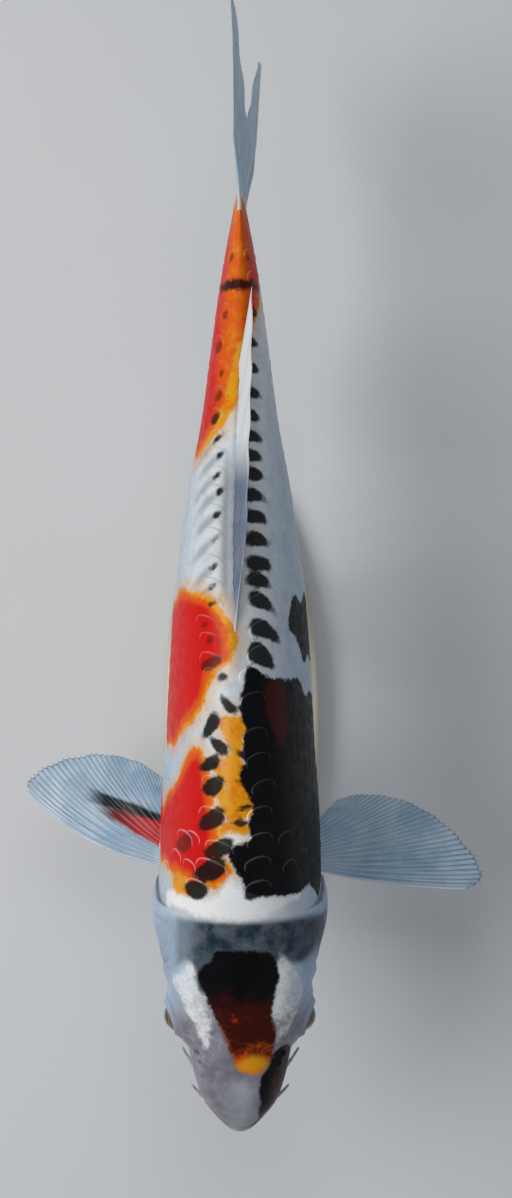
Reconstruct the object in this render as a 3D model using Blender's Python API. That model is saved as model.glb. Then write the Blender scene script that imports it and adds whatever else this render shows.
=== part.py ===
"""A life-size koi carp on a plain display stand.

The fish lies along Y with its snout towards -Y. Its left side is +X and its back is up.
The origin is the centre of the underside of the stand's base.
Stations are shares of the body's length, from 0 at the snout to 1 at the root of the tail fin.
Angles go round the body from its left side, at 0, over the back, at 90 degrees.
"""

import math

import bmesh
import bpy
from mathutils import Vector

# Driving sizes, in metres
BODY_LENGTH = 0.370
AXIS_HEIGHT = 0.120
GAP = 0.0004
SEAT_GAP = 0.00035
WELD_REACH = 0.00006

# Where the fish balances, as a station: the middle of the stand stands under it
BALANCE = 0.425

# Station, half width, back, belly, level of the widest line, squareness of the section above
# and below that line. All but the station and the squareness are shares of the body's length
# and heights count from the body's axis.
PROFILE = (
    (0.000, 0.0000, -0.014, -0.014, -0.014, 2.0, 2.0),
    (0.012, 0.0215, 0.010, -0.034, -0.014, 2.2, 2.1),
    (0.034, 0.0402, 0.033, -0.047, -0.013, 2.4, 2.2),
    (0.060, 0.0495, 0.050, -0.057, -0.010, 2.5, 2.3),
    (0.095, 0.0570, 0.067, -0.067, -0.004, 2.6, 2.4),
    (0.130, 0.0695, 0.081, -0.077, 0.000, 2.6, 2.4),
    (0.165, 0.0790, 0.094, -0.087, -0.002, 2.5, 2.4),
    (0.205, 0.0875, 0.107, -0.097, -0.008, 2.4, 2.3),
    (0.245, 0.0920, 0.119, -0.107, -0.014, 2.2, 2.2),
    (0.290, 0.0885, 0.130, -0.116, -0.018, 2.0, 2.2),
    (0.350, 0.0862, 0.138, -0.125, -0.018, 1.95, 2.2),
    (0.420, 0.0810, 0.141, -0.131, -0.014, 1.9, 2.2),
    (0.500, 0.0765, 0.137, -0.130, -0.008, 1.9, 2.1),
    (0.570, 0.0710, 0.126, -0.124, -0.002, 1.9, 2.1),
    (0.640, 0.0622, 0.109, -0.112, 0.000, 1.9, 2.0),
    (0.700, 0.0532, 0.093, -0.098, 0.000, 1.9, 2.0),
    (0.760, 0.0422, 0.078, -0.082, 0.000, 1.9, 2.0),
    (0.830, 0.0330, 0.064, -0.066, 0.000, 2.0, 2.0),
    (0.900, 0.0236, 0.057, -0.058, 0.000, 2.0, 2.0),
    (0.950, 0.0152, 0.056, -0.057, 0.000, 2.0, 2.0),
    (1.000, 0.0056, 0.060, -0.061, 0.000, 2.0, 2.0),
)

# The back rolls a little to the fish's right between the shoulder and the end of the dorsal fin
ROLL = -0.10
ROLL_SPAN = (0.36, 0.96)

# Partings: the gill opening, and the root of the tail
GILL_SIDE = 0.255
GILL_NAPE = 0.240
GILL_THROAT = 0.165
TAIL_PARTING = 0.840

RING_SIDES = 32
HEAD_RINGS = 17
TRUNK_RINGS = 17
TAIL_RINGS = 6

# Gill cover: middle as station and angle, reach in both, and its thickness
COVER_STATION = 0.221
COVER_ANGLE = math.radians(-14)
COVER_REACH = (0.051, math.radians(41))
COVER_THICKNESS = 0.0032
COVER_RIM = 0.0016
COVER_SIDES = 22
COVER_TILT = math.radians(4)

# Mouth: the corner, and the line where the jaw meets the throat
MOUTH_TIP = -0.019
MOUTH_CORNER = (0.050, -0.031)
JAW_HINGE = (0.078, -0.085)

# Eye: station, height over the axis, how far out its centre lies, radius and flatness
EYE_STATION = 0.129
EYE_HEIGHT = 0.020
EYE_OUT = 0.0665
EYE_RADIUS = 0.0062
EYE_FLATNESS = 0.82

# Barbels: station, angle, length, radius at the root, and how they point (outward, back, up)
BARBELS = {
    "upper": (0.030, math.radians(-12), 0.0075, 0.0009, (0.85, 0.45, -0.45)),
    "lower": (0.050, math.radians(-32), 0.0145, 0.0011, (0.75, 0.55, -0.75)),
}
BARBEL_TIP = 0.00045

# Fins: the least and the greatest thickness, and how deep the roots reach before they are cut
FIN_EDGE = 0.0008
FIN_ROOT = 0.0022
FIN_BURY = 0.003

# Dorsal fin, folded down: base span, ray lengths, rise of the rays over the back, lean
DORSAL_BASE = (0.505, 0.800)
DORSAL_RAYS = (0.052, 0.038)
DORSAL_RISE = math.radians(10)
DORSAL_LEAN = math.radians(38)

# Anal fin: base span, ray lengths, and the ray angles below the body's axis
ANAL_BASE = (0.745, 0.812)
ANAL_RAYS = (0.038, 0.022)
ANAL_SWEEP = (math.radians(52), math.radians(24))

# Tail fin: length of the lobes and of the middle rays, spread of the rays and lean of the blade
TAIL_LOBE = 0.093
TAIL_FORK = 0.038
TAIL_SPREAD = math.radians(27)
TAIL_LEAN = math.radians(7)
TAIL_ROOT_HALF = 0.0205
TAIL_ROOT_STATION = 0.985

# Paired fins: root as station span and angle on the body, length of the longest ray, where that
# ray stands across the fin, how short the last ray is and how far the rays fan out
PECTORAL = {
    "root": (0.275, 0.306),
    "angle": math.radians(-38),
    "length": 0.079,
    "longest": 0.12,
    "shortest": 0.30,
    "fan": math.radians(53),
}
PELVIC = {
    "root": (0.500, 0.524),
    "angle": math.radians(-64),
    "length": 0.044,
    "longest": 0.15,
    "shortest": 0.50,
    "fan": math.radians(34),
}
# How the leading ray's tip stands, behind straight out to the side, how far the fin droops and
# how much its rays curl back along their length, all in degrees
POSES = {
    "pectoral": {"right": (22, 20, 20), "left": (-9, 10, 6)},
    "pelvic": {"right": (66, 40, 10), "left": (66, 40, 10)},
}

# Stand: an oval base with a soft edge and two rods up to the belly
BASE_LENGTH = 0.220
BASE_WIDTH = 0.070
BASE_HEIGHT = 0.010
BASE_EDGE = 0.0025
BASE_SIDES = 48
ROD_RADIUS = 0.004
ROD_SIDES = 20
ROD_STATIONS = {"front": 0.325, "rear": 0.560}

SIDES = {"right": -1, "left": 1}


def column(station, number):
    """One column of PROFILE at a station, on a smooth curve that is round at the snout."""
    last = len(PROFILE) - 1
    station = min(max(station, 0.0), 1.0)
    place = math.sqrt(station)
    knots = [math.sqrt(row[0]) for row in PROFILE]
    values = [row[number] for row in PROFILE]
    i = max(k for k in range(last) if knots[k] <= place)
    span = knots[i + 1] - knots[i]
    t = (place - knots[i]) / span

    def slope(k):
        before, after = max(k - 1, 0), min(k + 1, last)
        return (values[after] - values[before]) / (knots[after] - knots[before])

    square, cube = t * t, t * t * t
    return (
        values[i] * (2 * cube - 3 * square + 1)
        + values[i + 1] * (3 * square - 2 * cube)
        + slope(i) * span * (cube - 2 * square + t)
        + slope(i + 1) * span * (cube - square)
    )


def station_y(station):
    return (station - BALANCE) * BODY_LENGTH


def roll_at(station):
    """How far the back leans sideways for each metre of height."""
    start, end = ROLL_SPAN
    share = min(max((station - start) / (end - start), 0.0), 1.0)
    return ROLL * math.sin(math.pi * share) ** 2


def signed_power(value, power):
    return math.copysign(abs(value) ** power, value)


def body_point(station, angle, grow=0.0):
    """A point of the fish's surface, or one that far outside it."""
    width, back, belly, waist = (column(station, n) * BODY_LENGTH for n in range(1, 5))
    above = math.sin(angle) > 0
    power = 2.0 / column(station, 5 if above else 6)
    height = back - waist if above else waist - belly
    across = (width + grow) * signed_power(math.cos(angle), power)
    up = waist + (height + grow) * signed_power(math.sin(angle), power)
    return Vector((across + roll_at(station) * up, station_y(station), AXIS_HEIGHT + up))


def gill_line(angle):
    """Station where the head ends and the trunk begins, at an angle."""
    lift = math.sin(angle)
    return GILL_SIDE - (GILL_SIDE - (GILL_NAPE if lift > 0 else GILL_THROAT)) * lift * lift


def add_material(obj, name, colour, roughness, metallic=0.0):
    material = bpy.data.materials.get(name)
    if material is None:
        material = bpy.data.materials.new(name)
        material.use_nodes = True
        shader = material.node_tree.nodes["Principled BSDF"]
        shader.inputs["Base Color"].default_value = (*colour, 1.0)
        shader.inputs["Roughness"].default_value = roughness
        shader.inputs["Metallic"].default_value = metallic
        material.diffuse_color = (*colour, 1.0)
    obj.data.materials.append(material)


def finish_mesh(name, bm, crease=50.0):
    """Turns a bmesh into a named object with outward faces and smooth shading."""
    bmesh.ops.recalc_face_normals(bm, faces=bm.faces)
    mesh = bpy.data.meshes.new(name)
    bm.to_mesh(mesh)
    bm.free()
    mesh.shade_smooth()
    mesh.set_sharp_from_angle(angle=math.radians(crease))
    obj = bpy.data.objects.new(name, mesh)
    bpy.context.scene.collection.objects.link(obj)
    return obj


def close_ring(bm, edges, pole):
    """Closes a ring of edges with a fan round one point."""
    centre = bm.verts.new(pole)
    for edge in edges:
        bm.faces.new((*edge.verts, centre))


def close_strip(bm, edges, place):
    """Closes a long flat ring with faces straight across, for the edge or root of a fin."""
    ring = sorted({v for e in edges for v in e.verts}, key=lambda v: v[place])
    last = len(ring) - 1
    for number in range(len(ring) // 2 - 1):
        near, far = number + 1, last - number
        bm.faces.new((ring[number], ring[near], ring[far - 1], ring[far]))


def loft(name, rings, crease=50.0, flat=False):
    """A closed body through rings that have equally many points, extruded ring by ring."""
    bm = bmesh.new()
    place = bm.verts.layers.int.new("place")
    circle = bmesh.ops.create_circle(bm, segments=len(rings[0]), radius=1.0)["verts"]
    for number, vert in enumerate(circle):
        vert[place] = number
        vert.co = rings[0][number]
    edges = list(bm.edges)
    if flat:
        close_strip(bm, edges, place)
    else:
        close_ring(bm, edges, sum(rings[0], Vector()) / len(rings[0]))
    for ring in rings[1:]:
        grown = bmesh.ops.extrude_edge_only(bm, edges=edges)["geom"]
        for vert in (g for g in grown if isinstance(g, bmesh.types.BMVert)):
            vert.co = ring[vert[place]]
        edges = [g for g in grown if isinstance(g, bmesh.types.BMEdge) and g.is_boundary]
    if flat:
        close_strip(bm, edges, place)
    else:
        close_ring(bm, edges, sum(rings[-1], Vector()) / len(rings[-1]))
    return finish_mesh(name, bm, crease)


def hide_cutter(obj):
    obj.hide_render = True
    obj.display_type = "WIRE"
    return obj


def cut(obj, cutter, operation="DIFFERENCE"):
    """Cuts an object with a cutter, with the Boolean's exact solver."""
    modifier = obj.modifiers.new(f"{operation.lower()}_{cutter.name}", "BOOLEAN")
    modifier.operation = operation
    modifier.solver = "EXACT"
    modifier.object = cutter


def weld(obj):
    """Closes the hair-fine edges which the cuts leave behind."""
    modifier = obj.modifiers.new("weld", "WELD")
    modifier.merge_threshold = WELD_REACH


def section(start, end, share, grow=0.0):
    """A ring round the body, a share of the way between two lines given by angle."""
    ring = []
    for number in range(RING_SIDES):
        angle = 2 * math.pi * (number + 0.5) / RING_SIDES
        station = start(angle) + (end(angle) - start(angle)) * share
        ring.append(body_point(station, angle, grow))
    return ring


def snout_line(angle):
    return 0.0006


def tail_line(angle):
    return TAIL_PARTING


def root_line(angle):
    return 1.0


def shifted(line, by):
    """The same line moved towards the tail."""
    return lambda angle: line(angle) + by / BODY_LENGTH


def head_rings(grow=0.0):
    """Rings crowd towards the snout, where the outline turns fastest."""
    shares = [(n / HEAD_RINGS) ** 1.6 for n in range(HEAD_RINGS + 1)]
    return [section(snout_line, gill_line, share, grow) for share in shares]


def trunk_rings(grow=0.0):
    start = shifted(gill_line, GAP)
    shares = [n / TRUNK_RINGS for n in range(TRUNK_RINGS + 1)]
    return [section(start, tail_line, share, grow) for share in shares]


def tail_rings(grow=0.0):
    start = shifted(tail_line, GAP)
    shares = [n / TAIL_RINGS for n in range(TAIL_RINGS + 1)]
    return [section(start, root_line, share, grow) for share in shares]


def whole_body(grow):
    """The whole fish in one piece, grown a little: it cuts the roots of what meets the body."""
    front = [point - Vector((0, grow, 0)) for point in head_rings(grow)[0]]
    back = [point + Vector((0, grow, 0)) for point in tail_rings(grow)[-1]]
    rings = [front, *head_rings(grow), *trunk_rings(grow)[1:], *tail_rings(grow)[1:], back]
    return hide_cutter(loft("cutter_body", rings))


def cover_point(side, reach, turn, grow):
    """A point of a gill cover: reach goes from its middle, 0, to its rim, 1."""
    power = 2 / 2.5
    station = COVER_STATION + COVER_REACH[0] * reach * signed_power(math.cos(turn), power)
    angle = COVER_ANGLE + COVER_REACH[1] * reach * signed_power(math.sin(turn), power)
    angle -= COVER_TILT * (station - COVER_STATION) / COVER_REACH[0]
    return body_point(station, angle if side > 0 else math.pi - angle, grow)


def cover_ring(side, reach, grow):
    turns = [2 * math.pi * n / COVER_SIDES for n in range(COVER_SIDES)]
    return [cover_point(side, reach, turn, grow) for turn in turns]


def make_gill_cover(name, side):
    outer = [cover_ring(side, reach, 0.0) for reach in (0.2, 0.5, 0.8, 1.0)]
    rim = [cover_ring(side, 0.99, -COVER_RIM)]
    inner = [cover_ring(side, reach, -COVER_THICKNESS) for reach in (0.85, 0.5, 0.2)]
    cover = loft(f"gill_cover_{name}", outer + rim + inner)
    outside = [cover_ring(side, reach, 0.006) for reach in (0.2, 0.6, 1.025)]
    wall = [cover_ring(side, 1.025, -COVER_RIM - SEAT_GAP)]
    floor = [cover_ring(side, r, -COVER_THICKNESS - SEAT_GAP) for r in (0.87, 0.5, 0.2)]
    pocket = hide_cutter(loft(f"cutter_cover_{name}", outside + wall + floor))
    return cover, pocket


def make_jaw_cutter(name, grow):
    """A wedge from side to side under the line of the mouth."""
    outline = (
        (-0.05, MOUTH_TIP),
        (0.0, MOUTH_TIP),
        MOUTH_CORNER,
        JAW_HINGE,
        (-0.05, -0.2),
    )
    bm = bmesh.new()
    verts = []
    for station, height in outline:
        y, z = station_y(station), AXIS_HEIGHT + height * BODY_LENGTH
        verts.append(bm.verts.new((-0.06, y, z)))
    face = bm.faces.new(verts)
    front = bmesh.ops.extrude_face_region(bm, geom=[face])["geom"]
    moved = [g for g in front if isinstance(g, bmesh.types.BMVert)]
    bmesh.ops.translate(bm, verts=moved, vec=(0.12, 0, 0))
    bmesh.ops.translate(bm, verts=bm.verts, vec=(0, grow, grow))
    return hide_cutter(finish_mesh(name, bm))


def eye_centre(side):
    y, z = station_y(EYE_STATION), AXIS_HEIGHT + EYE_HEIGHT * BODY_LENGTH
    return Vector((side * EYE_OUT * BODY_LENGTH, y, z))


def make_eyeball(name, side, grow=0.0):
    """A ball that is a little flat from side to side, turned slightly forward and up."""
    bm = bmesh.new()
    bmesh.ops.create_uvsphere(bm, u_segments=16, v_segments=8, radius=EYE_RADIUS + grow)
    bmesh.ops.scale(bm, verts=bm.verts, vec=(1, 1, EYE_FLATNESS))
    outward = Vector((side, -0.12, 0.16))
    bmesh.ops.transform(bm, verts=bm.verts, matrix=outward.to_track_quat("Z", "Y").to_matrix())
    bmesh.ops.translate(bm, verts=bm.verts, vec=eye_centre(side))
    return finish_mesh(name, bm)


def make_barbel(name, side, kind):
    """A soft feeler at the mouth: a tapering tube that bends down along its length."""
    station, angle, length, root, (out, back, up) = BARBELS[kind]
    start = body_point(station, angle if side > 0 else math.pi - angle, -root)
    heading = Vector((side * out, back, up)).normalized()
    rings = []
    for number in range(7):
        share = number / 6
        bend = Vector((0, 0.15, -0.35)) * share * share * length
        centre = start + heading * (length + root) * share + bend
        radius = root + (BARBEL_TIP - root) * share
        across = heading.cross(Vector((0, 0, 1))).normalized()
        over = across.cross(heading)
        turns = [2 * math.pi * n / 8 for n in range(8)]
        rings.append(
            [centre + (across * math.cos(t) + over * math.sin(t)) * radius for t in turns]
        )
    return loft(f"barbel_{kind}_{name}", rings)


def fin_blade(name, point, rays, steps, plane=None):
    """A fin from a function point(u, v), with u along its base and v from root to edge.

    Its two faces are lofted as one flat ring after another, thinner towards the edge. plane is
    like point, for a fin whose rays shorten so fast that point can't give its thickness a way.
    """
    plane = plane or point
    shift = 0.002
    rings = []
    for step in range(steps + 1):
        v = step / steps
        near, far = [], []
        for ray in range(rays + 1):
            u = ray / rays
            along = plane(min(u + shift, 1.0), v) - plane(max(u - shift, 0.0), v)
            out = plane(u, min(v + shift, 1.0)) - plane(u, max(v - shift, 0.0))
            normal = along.cross(out).normalized()
            thin = min(4 * u, 4 * (1 - u), 1.0)
            root = FIN_EDGE + (FIN_ROOT - FIN_EDGE) * (0.35 + 0.65 * thin)
            thick = root + (FIN_EDGE - root) * v
            near.append(point(u, v) + normal * thick / 2)
            far.append(point(u, v) - normal * thick / 2)
        rings.append(near + far[::-1])
    blade = loft(name, rings, 40.0, flat=True)
    facets = blade.modifiers.new("facets", "TRIANGULATE")
    facets.quad_method = "SHORTEST_DIAGONAL"
    return blade


def dorsal_point(u, v):
    """The dorsal fin lies folded back along the back and leans to the fish's left."""
    station = DORSAL_BASE[0] + (DORSAL_BASE[1] - DORSAL_BASE[0]) * u
    root = body_point(station, math.pi / 2, -FIN_BURY)
    length = DORSAL_RAYS[0] + (DORSAL_RAYS[1] - DORSAL_RAYS[0]) * u
    length *= 1.0 - 0.25 * (1.0 - min(u / 0.12, 1.0)) ** 2
    run = length * v * math.cos(DORSAL_RISE)
    ahead = body_point(station + run / BODY_LENGTH, math.pi / 2, -FIN_BURY)
    rise = FIN_BURY * v + length * v * math.sin(DORSAL_RISE)
    lean = math.tan(DORSAL_LEAN) * max(rise - FIN_BURY * v, 0.0)
    return Vector((ahead.x + lean, root.y + run, ahead.z + rise))


def anal_point(u, v):
    """The anal fin hangs from the belly line and sweeps back."""
    station = ANAL_BASE[0] + (ANAL_BASE[1] - ANAL_BASE[0]) * u
    root = body_point(station, -math.pi / 2, -FIN_BURY)
    length = ANAL_RAYS[1] + (ANAL_RAYS[0] - ANAL_RAYS[1]) * ray_share(u, 0.15, 0.0)
    sweep = ANAL_SWEEP[0] + (ANAL_SWEEP[1] - ANAL_SWEEP[0]) * u + 0.25 * (1 - u) * (1 - v)
    run = Vector((0, math.cos(sweep), -math.sin(sweep)))
    return root + run * (length + FIN_BURY) * v


def tail_point(u, v):
    """The tail fin: u goes from the lower edge to the upper one."""
    side = 2 * u - 1
    reach = abs(side)
    lobe = reach ** 1.5 - 0.16 * (max(reach - 0.7, 0.0) / 0.3) ** 2
    length = TAIL_FORK + (TAIL_LOBE - TAIL_FORK) * lobe
    angle = TAIL_SPREAD * side
    bow = 0.004 * math.sin(math.pi * v) * side
    run = length * v * math.cos(angle) - FIN_BURY * (1 - v)
    rise = TAIL_ROOT_HALF * side + length * v * math.sin(angle) + bow
    lean = math.tan(TAIL_LEAN) * rise * min(3 * v, 1.0)
    sway = 0.003 * math.sin(2.2 * v) * (0.5 + 0.5 * side) + 0.0015 * v
    y = station_y(TAIL_ROOT_STATION) + run
    return Vector((sway - lean, y, AXIS_HEIGHT + rise))


def ray_share(u, longest, shortest):
    """Length of a ray as a share of the longest one, so that the fin's edge is round."""
    if u < longest:
        return 1.0 - 0.10 * (1.0 - u / longest) ** 2
    return 1.0 - (1.0 - shortest) * ((u - longest) / (1.0 - longest)) ** 1.25


def dorsal_plane(u, v):
    """The dorsal fin as a plane that leans as it does."""
    return Vector((math.sin(DORSAL_LEAN) * v, u, math.cos(DORSAL_LEAN) * v))


def paired_point(fin, side, pose, even=False):
    """A paired fin as a function of u, from the leading edge, and v, from the root.

    An even fin has rays of one length.
    """
    sweep, droop, curl = (math.radians(value) for value in pose)
    start, end = fin["root"]
    angle = fin["angle"] if side > 0 else math.pi - fin["angle"]

    def point(u, v):
        root = body_point(start + (end - start) * u, angle, -FIN_BURY)
        share = 1.0 if even else ray_share(u, fin["longest"], fin["shortest"])
        reach = fin["length"] * share * v
        turn = sweep + fin["fan"] * u ** 1.15 - curl * (1.0 - u) * (1.0 - v)
        fall = droop * (0.6 + 0.4 * v) + 0.12 * u * v
        out, back = math.cos(turn) * math.cos(fall), math.sin(turn) * math.cos(fall)
        return root + Vector((side * out, back, -math.sin(fall))) * reach

    return point


def make_base():
    """An oval slab with a rounded upper edge."""
    bm = bmesh.new()
    bmesh.ops.create_cone(
        bm,
        cap_ends=True,
        segments=BASE_SIDES,
        radius1=BASE_WIDTH / 2,
        radius2=BASE_WIDTH / 2,
        depth=BASE_HEIGHT,
    )
    bmesh.ops.scale(bm, verts=bm.verts, vec=(1, BASE_LENGTH / BASE_WIDTH, 1))
    bmesh.ops.translate(bm, verts=bm.verts, vec=(0, 0, BASE_HEIGHT / 2))
    top = [e for e in bm.edges if all(v.co.z > BASE_HEIGHT * 0.9 for v in e.verts)]
    bmesh.ops.bevel(
        bm,
        geom=top,
        offset=BASE_EDGE,
        segments=3,
        profile=0.5,
        affect="EDGES",
        material=-1,
    )
    return finish_mesh("stand_base", bm, 30.0)


def make_rod(name, station):
    """A round rod from the top of the base into the belly, before the body cuts it."""
    bottom = BASE_HEIGHT + GAP
    top = AXIS_HEIGHT
    bm = bmesh.new()
    bmesh.ops.create_cone(
        bm,
        cap_ends=True,
        segments=ROD_SIDES,
        radius1=ROD_RADIUS,
        radius2=ROD_RADIUS,
        depth=top - bottom,
    )
    bmesh.ops.translate(bm, verts=bm.verts, vec=(0, station_y(station), (top + bottom) / 2))
    return finish_mesh(name, bm, 30.0)


def main():
    for obj in list(bpy.data.objects):
        bpy.data.objects.remove(obj, do_unlink=True)

    skin = ("fish_skin", (0.62, 0.64, 0.66), 0.35)
    fin_skin = ("fish_fin", (0.45, 0.58, 0.68), 0.40)

    body_cutter = whole_body(SEAT_GAP)
    head = loft("head", head_rings())
    jaw = loft("lower_jaw", head_rings())
    trunk = loft("trunk", trunk_rings())
    tail = loft("tail", tail_rings())
    cut(head, make_jaw_cutter("cutter_head_jaw", GAP))
    cut(jaw, make_jaw_cutter("cutter_jaw", 0.0), "INTERSECT")
    for obj in (head, jaw, trunk, tail):
        add_material(obj, *skin)

    for name, side in SIDES.items():
        cover, pocket = make_gill_cover(name, side)
        cut(head, pocket)
        cut(trunk, pocket)
        add_material(cover, "fish_gill_cover", (0.42, 0.46, 0.48), 0.30)
        cut(head, hide_cutter(make_eyeball(f"cutter_eye_{name}", side, SEAT_GAP)))
        add_material(make_eyeball(f"eye_{name}", side), "fish_eye", (0.03, 0.02, 0.02), 0.08)
        for kind in BARBELS:
            barbel = make_barbel(name, side, kind)
            cut(barbel, body_cutter)
            add_material(barbel, "fish_barbel", (0.30, 0.26, 0.25), 0.40)
        pectoral = (PECTORAL, side, POSES["pectoral"][name])
        pectoral_fin = fin_blade(
            f"pectoral_fin_{name}", paired_point(*pectoral), 13, 8, paired_point(*pectoral, True)
        )
        cut(pectoral_fin, pocket)
        pelvic = (PELVIC, side, POSES["pelvic"][name])
        pelvic_fin = fin_blade(
            f"pelvic_fin_{name}", paired_point(*pelvic), 9, 5, paired_point(*pelvic, True)
        )
        for fin in (pectoral_fin, pelvic_fin):
            cut(fin, body_cutter)
            weld(fin)
            add_material(fin, *fin_skin)

    for fin in (
        fin_blade("dorsal_fin", dorsal_point, 20, 5, dorsal_plane),
        fin_blade("anal_fin", anal_point, 8, 5),
        fin_blade("tail_fin", tail_point, 20, 7),
    ):
        cut(fin, body_cutter)
        add_material(fin, *fin_skin)

    add_material(make_base(), "stand_lacquer", (0.80, 0.80, 0.78), 0.45)
    for name, station in ROD_STATIONS.items():
        rod = make_rod(f"stand_rod_{name}", station)
        cut(rod, body_cutter)
        add_material(rod, "stand_steel", (0.60, 0.60, 0.61), 0.30, 1.0)


main()
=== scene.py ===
import math

import bmesh
import bpy
import numpy as np
from bpy.props import FloatProperty, FloatVectorProperty, IntProperty, PointerProperty
from mathutils import Matrix, Vector


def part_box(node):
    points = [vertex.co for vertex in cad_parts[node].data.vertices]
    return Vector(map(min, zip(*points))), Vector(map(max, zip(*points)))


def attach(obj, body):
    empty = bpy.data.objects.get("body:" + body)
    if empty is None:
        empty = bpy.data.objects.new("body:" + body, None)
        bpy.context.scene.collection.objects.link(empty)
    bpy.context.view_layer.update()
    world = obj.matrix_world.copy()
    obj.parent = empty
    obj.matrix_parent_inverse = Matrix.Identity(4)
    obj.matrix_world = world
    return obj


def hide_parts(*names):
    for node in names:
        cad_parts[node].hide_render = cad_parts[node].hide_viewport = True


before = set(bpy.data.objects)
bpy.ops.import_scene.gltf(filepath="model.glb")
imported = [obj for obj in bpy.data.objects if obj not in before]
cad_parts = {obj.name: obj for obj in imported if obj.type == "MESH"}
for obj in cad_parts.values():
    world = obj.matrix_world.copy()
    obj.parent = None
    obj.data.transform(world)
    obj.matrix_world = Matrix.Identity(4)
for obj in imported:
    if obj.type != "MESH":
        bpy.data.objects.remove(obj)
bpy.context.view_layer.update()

bl_info = {
    "name": "Koi carp model",
    "version": (1, 0, 0),
    "blender": (4, 5, 0),
    "location": "3D View > Sidebar > Koi",
    "description": "Builds a life-size koi carp on a plain display stand",
    "category": "Add Mesh",
}

# The fish lies along Y with its snout towards -Y and its left side towards +X. AXIS is its
# height, and BALANCE the share of its length that lies ahead of the frame's middle
LENGTH = 0.370
AXIS = 0.120
BALANCE = 0.425
MM = 0.001

# Station, half width, back, belly, waist, squareness above and below, in shares of the length
PROFILE = np.array((
    (0.000, 0.0000, -0.014, -0.014, -0.014, 2.00, 2.0),
    (0.012, 0.0215, 0.010, -0.034, -0.014, 2.20, 2.1),
    (0.034, 0.0402, 0.033, -0.047, -0.013, 2.40, 2.2),
    (0.060, 0.0495, 0.050, -0.057, -0.010, 2.50, 2.3),
    (0.095, 0.0570, 0.067, -0.067, -0.004, 2.60, 2.4),
    (0.130, 0.0695, 0.081, -0.077, 0.000, 2.60, 2.4),
    (0.165, 0.0790, 0.094, -0.087, -0.002, 2.50, 2.4),
    (0.205, 0.0875, 0.107, -0.097, -0.008, 2.40, 2.3),
    (0.245, 0.0920, 0.119, -0.107, -0.014, 2.20, 2.2),
    (0.290, 0.0885, 0.130, -0.116, -0.018, 2.00, 2.2),
    (0.350, 0.0862, 0.138, -0.125, -0.018, 1.95, 2.2),
    (0.420, 0.0810, 0.141, -0.131, -0.014, 1.90, 2.2),
    (0.500, 0.0765, 0.137, -0.130, -0.008, 1.90, 2.1),
    (0.570, 0.0710, 0.126, -0.124, -0.002, 1.90, 2.1),
    (0.640, 0.0622, 0.109, -0.112, 0.000, 1.90, 2.0),
    (0.700, 0.0532, 0.093, -0.098, 0.000, 1.90, 2.0),
    (0.760, 0.0422, 0.078, -0.082, 0.000, 1.90, 2.0),
    (0.830, 0.0330, 0.064, -0.066, 0.000, 2.00, 2.0),
    (0.900, 0.0236, 0.057, -0.058, 0.000, 2.00, 2.0),
    (0.950, 0.0152, 0.056, -0.057, 0.000, 2.00, 2.0),
    (1.000, 0.0056, 0.060, -0.061, 0.000, 2.00, 2.0),
))

# How far the body leans to one side, and the stretch of the body over which it does
ROLL = -0.10
ROLL_SPAN = (0.36, 0.96)

# Gill openings as stations at the side, the nape and the throat, and the covers' round edge
GILL_SIDE, GILL_NAPE, GILL_THROAT = 0.255, 0.240, 0.165
COVER_STATION = 0.221
COVER_ANGLE = math.radians(-14)
COVER_REACH = (0.051, math.radians(41))

# Mouth and jaw, eyes and feelers
MOUTH_TIP = -0.019
MOUTH_CORNER = (0.050, -0.031)
EYE_STATION, EYE_HEIGHT, EYE_OUT = 0.129, 0.020, 0.0665
EYE_FLATNESS = 0.82
EYE_TURN = (-0.12, 0.16)
NOSTRILS = ((0.083, 46.0), (0.094, 49.0))
NOSTRIL_MIDDLE = (0.0885, 47.5)
BARBELS = {
    "upper": (0.030, math.radians(-12), 0.0075, 0.0009, (0.85, 0.45, -0.45)),
    "lower": (0.050, math.radians(-32), 0.0145, 0.0011, (0.75, 0.55, -0.75)),
}
BARBEL_TIP, BARBEL_FLARE = 0.00045, 0.0009
BARBEL_BEND = (0.0, 0.15, -0.35)

# Fins, as the solids have them, and the number of each fin's rays
RAYS = {"dorsal": 20, "anal": 8, "tail": 22, "pectoral": 17, "pelvic": 9}
FIN_BURY = 0.003
DORSAL_BASE = (0.505, 0.800)
DORSAL_RAYS = (0.052, 0.038)
DORSAL_RISE = math.radians(10)
DORSAL_LEAN = math.radians(38)
ANAL_BASE = (0.745, 0.812)
ANAL_RAYS = (0.038, 0.022)
ANAL_SWEEP = (math.radians(52), math.radians(24))
TAIL_LOBE, TAIL_FORK = 0.093, 0.038
TAIL_SPREAD = math.radians(27)
TAIL_LEAN = math.radians(7)
TAIL_ROOT_HALF = 0.0205
TAIL_ROOT_STATION = 0.985
PECTORAL = {
    "root": (0.275, 0.306), "angle": math.radians(-38), "length": 0.079,
    "longest": 0.12, "shortest": 0.30, "fan": math.radians(53),
}
PELVIC = {
    "root": (0.500, 0.524), "angle": math.radians(-64), "length": 0.044,
    "longest": 0.15, "shortest": 0.50, "fan": math.radians(34),
}
POSES = {
    "pectoral": {"right": (22, 20, 20), "left": (-9, 10, 6)},
    "pelvic": {"right": (66, 40, 10), "left": (66, 40, 10)},
}
SIDES = {"right": -1, "left": 1}

# Where the red streak of the right pectoral fin starts, and its direction
STREAK_ROOT = (-0.0331, -0.0413, 0.0)
STREAK_TURN = math.radians(161)

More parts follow.
